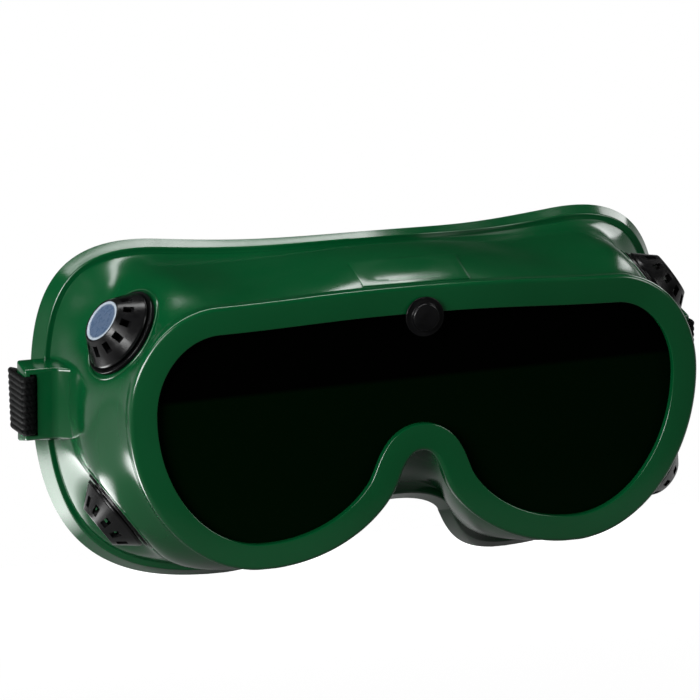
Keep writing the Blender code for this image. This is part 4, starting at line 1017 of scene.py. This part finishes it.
class StrapRoute:
    # the right half of the strap's centre line, from its doubled end to the middle of the back
    def __init__(self):
        self.turn = face.to_3x3()
        self.barAxis = self.turn @ Vector((0, 0, 1))
        self.offset = clearance + strapSizes["thickness"] / 2
        self.barOut = (rimSizes["halfWidth"] + outlineShifts["flange"]["side"]
                       + lugSizes["reach"])
        self.barBack = lugSizes["frontDepth"] + lugSizes["depth"]
        sagged = self.atLug(0, self.barBack).z - strapSizes["sag"]
        low, high = 0.0, strapSizes["mostDroop"]
        while high - low > closeEnough:
            self.droop = (low + high) / 2
            above = self.back()[-1][0].z > sagged
            low, high = (self.droop, high) if above else (low, self.droop)
        self.point, self.direction, self.up = self.bend()[-1]
        self.out = self.direction.cross(self.up).normalized()
        self.layerShift = self.out * -(strapSizes["thickness"] + strapSizes["layerGap"])

    def atLug(self, x, y):
        return face @ Vector((x, y, -lugSizes["drop"]))

    def bend(self):
        # from the lug's bar, turning in behind the face
        startPitch = math.asin((self.turn @ Vector((0, 1, 0))).z)
        point = self.atLug(self.barOut + self.offset, self.barBack)
        route, steps = [], strapSizes["bendSteps"]
        for i in range(steps + 1):
            share = math.sin(math.pi / 2 * i / steps)
            direction = heading(strapSizes["turnIn"] * share,
                                startPitch * (1 - share) - self.droop * share)
            route.append((point.copy(), direction, self.barAxis.lerp(Vector((0, 0, 1)), share)))
            point += direction * strapSizes["bend"] / steps
        return route

    def back(self):
        # straight on and then round an arc, falling to the middle of the back
        point, direction, up = self.bend()[-1]
        point = point + direction * strapSizes["straight"]
        turnIn, steps = strapSizes["turnIn"], strapSizes["backSteps"]
        radius, sweep = point.x / math.cos(turnIn), math.pi / 2 - turnIn
        centreY, height, route = point.y - radius * math.sin(turnIn), point.z, []
        for i in range(steps + 1):
            share = i / steps
            turn = turnIn + sweep * share
            if i:
                fall = math.tan(-self.droop * (1 - share + 0.5 / steps))
                height += fall * radius * sweep / steps
            spot = Vector((radius * math.cos(turn), centreY + radius * math.sin(turn), height))
            route.append((spot, heading(turn, -self.droop * (1 - share)), up))
        return route

    def wrap(self):
        # through the lug's slot and round its bar
        slotOut, steps = self.barOut - lugSizes["barWidth"], strapSizes["wrapSteps"]
        flat = [(slotOut - self.offset, self.barBack, 0.0, -1.0)]
        for cornerX, start in ((slotOut, math.pi), (self.barOut, 1.5 * math.pi)):
            for i in range(steps + 1):
                angle = start + math.pi / 2 * i / steps
                flat.append((cornerX + self.offset * math.cos(angle),
                             lugSizes["frontDepth"] + self.offset * math.sin(angle),
                             -math.sin(angle), math.cos(angle)))
        return [(self.atLug(x, y), self.turn @ Vector((dx, dy, 0)), self.barAxis)
                for x, y, dx, dy in flat]

    def tail(self):
        # the doubled end, from its tip to the slot
        join = self.point + self.layerShift
        slotPoint, slotDirection, barUp = self.wrap()[0]
        reach, steps = (join - slotPoint).length, strapSizes["bendSteps"]
        startPull, endPull = -self.direction * reach, slotDirection * reach
        route = [(join + self.direction * strapSizes["tail"], -self.direction, self.up)]
        for i in range(steps):
            t = i / steps
            towards = (join - slotPoint) * (-6 * t * (1 - t))
            towards += startPull * ((1 - t) * (1 - 3 * t)) + endPull * (t * (3 * t - 2))
            route.append((hermite(join, slotPoint, startPull, endPull, t),
                          towards.normalized(), self.up.lerp(barUp, float(smoothStep(t)))))
        return route

    def fine(self):
        # the whole half, with points close enough to bend smoothly
        rough, result = self.tail() + self.wrap() + self.bend() + self.back(), []
        for (a, aheadA, upA), (b, aheadB, upB) in zip(rough, rough[1:]):
            span = (b - a).length
            count = max(2, math.ceil(span / strapSizes["sampleLength"])) if span > nearly else 0
            for t in (i / count for i in range(count)):
                result.append((hermite(a, b, aheadA * span, aheadB * span, t),
                               aheadA.lerp(aheadB, t).normalized(), upA.lerp(upB, t)))
        return result + rough[-1:]


def ribTree(values):
    # sinks the valleys between the strap's lengthwise cords
    tree = Growth("strapRibs", values, takesMesh=True)

    def named(name, kind):
        return tree.add("GeometryNodeInputNamedAttribute", {"Name": name},
                        data_type=kind).outputs["Attribute"]
    crown = tree.humps(tree.maths("MULTIPLY", named("across", "FLOAT"), tree.given["Rib count"]))
    sink = tree.maths("MULTIPLY", tree.maths("SUBTRACT", crown, 1.0), tree.given["Rib depth"])
    offset = tree.add("ShaderNodeVectorMath", {0: named("lift", "FLOAT_VECTOR"), "Scale": sink},
                      operation="SCALE")
    moved = tree.add("GeometryNodeSetPosition", {"Geometry": tree.given["Geometry"],
                                                 "Offset": offset})
    return tree.finished(moved, materials["black_elastic"])


def makeStrap():
    half = route.fine()
    whole = half + [(mirrored(point, -1), -mirrored(direction, -1), mirrored(up, -1))
                    for point, direction, up in reversed(half[:-1])]
    samples = webbingLook["ribs"] * strapSizes["facetsPerRib"]
    thick, width = strapSizes["thickness"] / 2, strapSizes["width"] / 2
    rounded = 1 - thick / width
    outline = [((i / samples * 2 - 1) * side, side) for side in (1, -1)
               for i in range(samples + 1)]
    lifts, shares, weaves, rings = [], [], [], []
    travelled, previous = 0.0, whole[0][0]
    for point, direction, up in whole:
        travelled += (point - previous).length
        previous = point
        out = direction.cross(up).normalized()
        wide = out.cross(direction).normalized()
        ring = []
        for across, side in outline:
            over = max(0.0, (abs(across) - rounded) / (1 - rounded))
            height = thick * max(strapSizes["edgeShare"], math.sqrt(max(0.0, 1 - over * over)))
            ring.append(point + wide * (across * width) + out * (side * height))
            lifts.extend(out * side)
            shares.append((across + 1) / 2)
            weaves.append((travelled, (across + 1) / 2))
        rings.append(ring)
    mesh = ringsToMesh("strap", rings, closed=False)
    mesh.attributes.new("lift", "FLOAT_VECTOR", "POINT").data.foreach_set("vector", lifts)
    mesh.attributes.new("across", "FLOAT", "POINT").data.foreach_set("value", shares)
    for loop, place in zip(mesh.loops, mesh.uv_layers.new(name="weave").data):
        place.uv = weaves[loop.vertex_index]
    values = {"Rib count": float(webbingLook["ribs"]), "Rib depth": strapSizes["ribDepth"]}
    return finishPiece("strapWebbing", grown(ribTree(values), values, mesh), "face_piece",
                       "black_elastic", "head_strap", smoothAngle=60)


route = StrapRoute()
strapWebbing = makeStrap()
print("stage: strap ready with", len(strapWebbing.data.polygons), "faces")


# sliders on the strap

sliderSizes = {"length": 0.0120, "place": 0.0260, "bar": 0.0012, "side": 0.0020,
               "rail": 0.0028, "edgeRadius": 0.0005}


def sliderMesh():
    channel = strapSizes["layerGap"] / 2 + strapSizes["thickness"] + clearance
    width = strapSizes["width"] / 2 + clearance
    half, depth = sliderSizes["length"] / 2, channel + sliderSizes["bar"]
    side, far, rail = width + sliderSizes["side"], sliderSizes["length"], sliderSizes["rail"]
    blank = boxMesh("slider", (-half, -depth, -side), (half, depth, side))
    for low, high in (((-far, -channel, -width), (far, channel, width)),
                      ((rail - half, 0, -width), (half - rail, far, width)),
                      ((rail / 2, -far, -width), (far, 0, width)),
                      ((-far, -far, -width), (-rail / 2, 0, width))):
        blank = carved(blank, "DIFFERENCE", boxMesh("cut", low, high))
    return edgesRounded(blank, sliderSizes["edgeRadius"])


def makeSliders():
    mesh = sliderMesh()
    middle = route.point + route.layerShift / 2 + route.direction * sliderSizes["place"]
    for side, mirror in sides.items():
        along, outer = mirrored(route.direction, mirror), mirrored(route.out, mirror)
        turn = Matrix((along, outer, along.cross(outer))).transposed().to_4x4()
        finishPiece(f"slider_{side}", mesh, f"slider_{side}", "black_plastic",
                    f"strap_slider_{side}", Matrix.Translation(mirrored(middle, mirror)) @ turn)


makeSliders()
print("stage: sliders ready")


# floor, light and camera

stageLook = {
    "floorFront": 0.05, "floorBack": 0.55, "floorTurn": (-0.08, -0.01), "floorRough": 0.9,
    "floorGlow": 0.93, "floorInGloss": 0.10, "floorReach": 6, "floorThickness": 0.02,
    "skyLight": 0.32, "ceiling": 0.012, "skyFront": 0.02, "skyBehind": 0.70,
    "skyTurn": (-0.10, 0.30), "horizon": (0.10, 0.45),
    "patchPlace": (-0.138, 0.028, 0.0), "patchReach": (0.034, 0.053), "patchGlow": 12.0,
}


def makeFloor():
    # paper that darkens towards the viewer, with a glow that the eye and mirrors see
    look, tree = stageLook, Finish("paleFloor")
    place = tree.place()
    behind = tree.ramp(tree.apart(place)["Y"], 0.0, 1.0, *look["floorTurn"])
    tree.surface(Base_Color=tree.ramp(behind, look["floorFront"], look["floorBack"]),
                 Roughness=look["floorRough"])
    seen, glossy = tree.rayKinds()
    gloss = tree.ramp(behind, 0.0, tree.ramp(glossy, 0.0, look["floorInGloss"]))
    away = tree.add("ShaderNodeVectorMath", {0: place, 1: look["patchPlace"]},
                    operation="DISTANCE").outputs["Value"]
    patch = tree.ramp(away, tree.ramp(glossy, 0.0, look["patchGlow"]), 0.0,
                      *look["patchReach"])
    glow = tree.maths("MAXIMUM", tree.ramp(seen, 0.0, look["floorGlow"]),
                      tree.maths("MAXIMUM", gloss, patch))
    light = tree.add("ShaderNodeEmission", {"Strength": glow})
    whole = tree.add("ShaderNodeAddShader", {0: tree.shader, 1: light})
    tree.feed(tree.nodes["Material Output"].inputs["Surface"], whole)
    tree.material.cycles.emission_sampling = "NONE"
    reach, thickness = look["floorReach"], look["floorThickness"]
    floor = bpy.data.objects.new("floor", boxMesh("floor", (-reach, -reach, -thickness),
                                                  (reach, reach, 0)))
    floor.data.materials.append(tree.material)
    scene.collection.objects.link(floor)


def makeSky():
    # white to the eye; in gloss it is white behind the part and dim in front and overhead
    look, world = stageLook, bpy.data.worlds.new("studio")
    scene.world = world
    world.use_nodes = True
    tree = Wiring(world.node_tree)
    seen, glossy = tree.rayKinds()
    place = tree.apart(tree.place("Generated"))
    behind = tree.ramp(place["Y"], look["skyFront"], look["skyBehind"], *look["skyTurn"])
    fade = tree.ramp(place["Z"], behind, look["ceiling"], *look["horizon"])
    gloss = tree.ramp(glossy, look["skyLight"], fade)
    sky = tree.nodes["Background"].inputs
    tree.feed(sky["Color"], (1, 1, 1, 1))
    tree.feed(sky["Strength"], tree.ramp(seen, gloss, 1.0))
    world.cycles.sampling_method = "NONE"    # so that mirrored rays alone see the dim parts


lamps = {
    # name: (place, where it points, size, power in watts, seen by matt surfaces, seen in gloss)
    "overhead": ((0.00, -0.08, 0.85), (0.00, -0.08, 0), (1.10, 0.34), 3.8, True, False),
    "overheadGlint": ((-0.33, 0.0, 0.84), (-0.33, 0.0, 0), (1.24, 0.15), 6.2, False, True),
    "rightGlint": ((1.08, 0.44, 0.84), (0, 0, 0.08), (0.55, 0.55), 4.8, False, True),
    "frontLeft": ((-0.80, -0.75, 0.55), (0, 0, 0.05), (0.45, 0.45), 4.0, True, True),
    "frontRight": ((0.90, -0.70, 0.45), (0, 0, 0.05), (0.35, 0.60), 4.0, True, True),
    "left": ((-0.85, -0.58, 0.10), (0, 0, 0.05), (0.50, 0.40), 14.0, True, True),
}


def makeLamps():
    for name, (place, aim, size, power, matt, gloss) in lamps.items():
        light = bpy.data.lights.new(name, "AREA")
        light.shape = "RECTANGLE"
        light.size, light.size_y = size
        light.energy = power
        lamp = bpy.data.objects.new(name, light)
        scene.collection.objects.link(lamp)
        lamp.visible_camera = False
        lamp.visible_diffuse, lamp.visible_glossy = matt, gloss
        back = Vector(place) - Vector(aim)
        lamp.location = place
        if back.xy.length > nearly:    # one that points straight down isn't turned
            lamp.rotation_euler = back.to_track_quat("Z", "Y").to_euler()


cameraSettings = {"azimuth": math.radians(20.8), "elevation": math.radians(12.9),
                  "right": -0.01930, "up": -0.01686, "distance": 1.8, "span": 0.1826,
                  "sensor": 36, "farthest": 20}


def makeCamera():
    # set in the face's own frame, so the goggles stand level across the view
    view, data = cameraSettings, bpy.data.cameras.new("camera")
    data.sensor_width = view["sensor"]
    data.lens = view["sensor"] * view["distance"] / view["span"]
    data.clip_end = view["farthest"]
    camera = bpy.data.objects.new("camera", data)
    scene.collection.objects.link(camera)
    camera.matrix_world = (face @ Matrix.Rotation(-view["azimuth"], 4, "Z")
                           @ Matrix.Rotation(math.pi / 2 - view["elevation"], 4, "X")
                           @ Matrix.Translation((view["right"], view["up"], view["distance"])))
    scene.camera = camera
    print("camera stands", round(camera.matrix_world.translation.z, 4), "above the floor")


makeFloor()
makeSky()
makeLamps()
makeCamera()
scene.view_settings.view_transform = "Standard"
print("stage: light and camera ready")
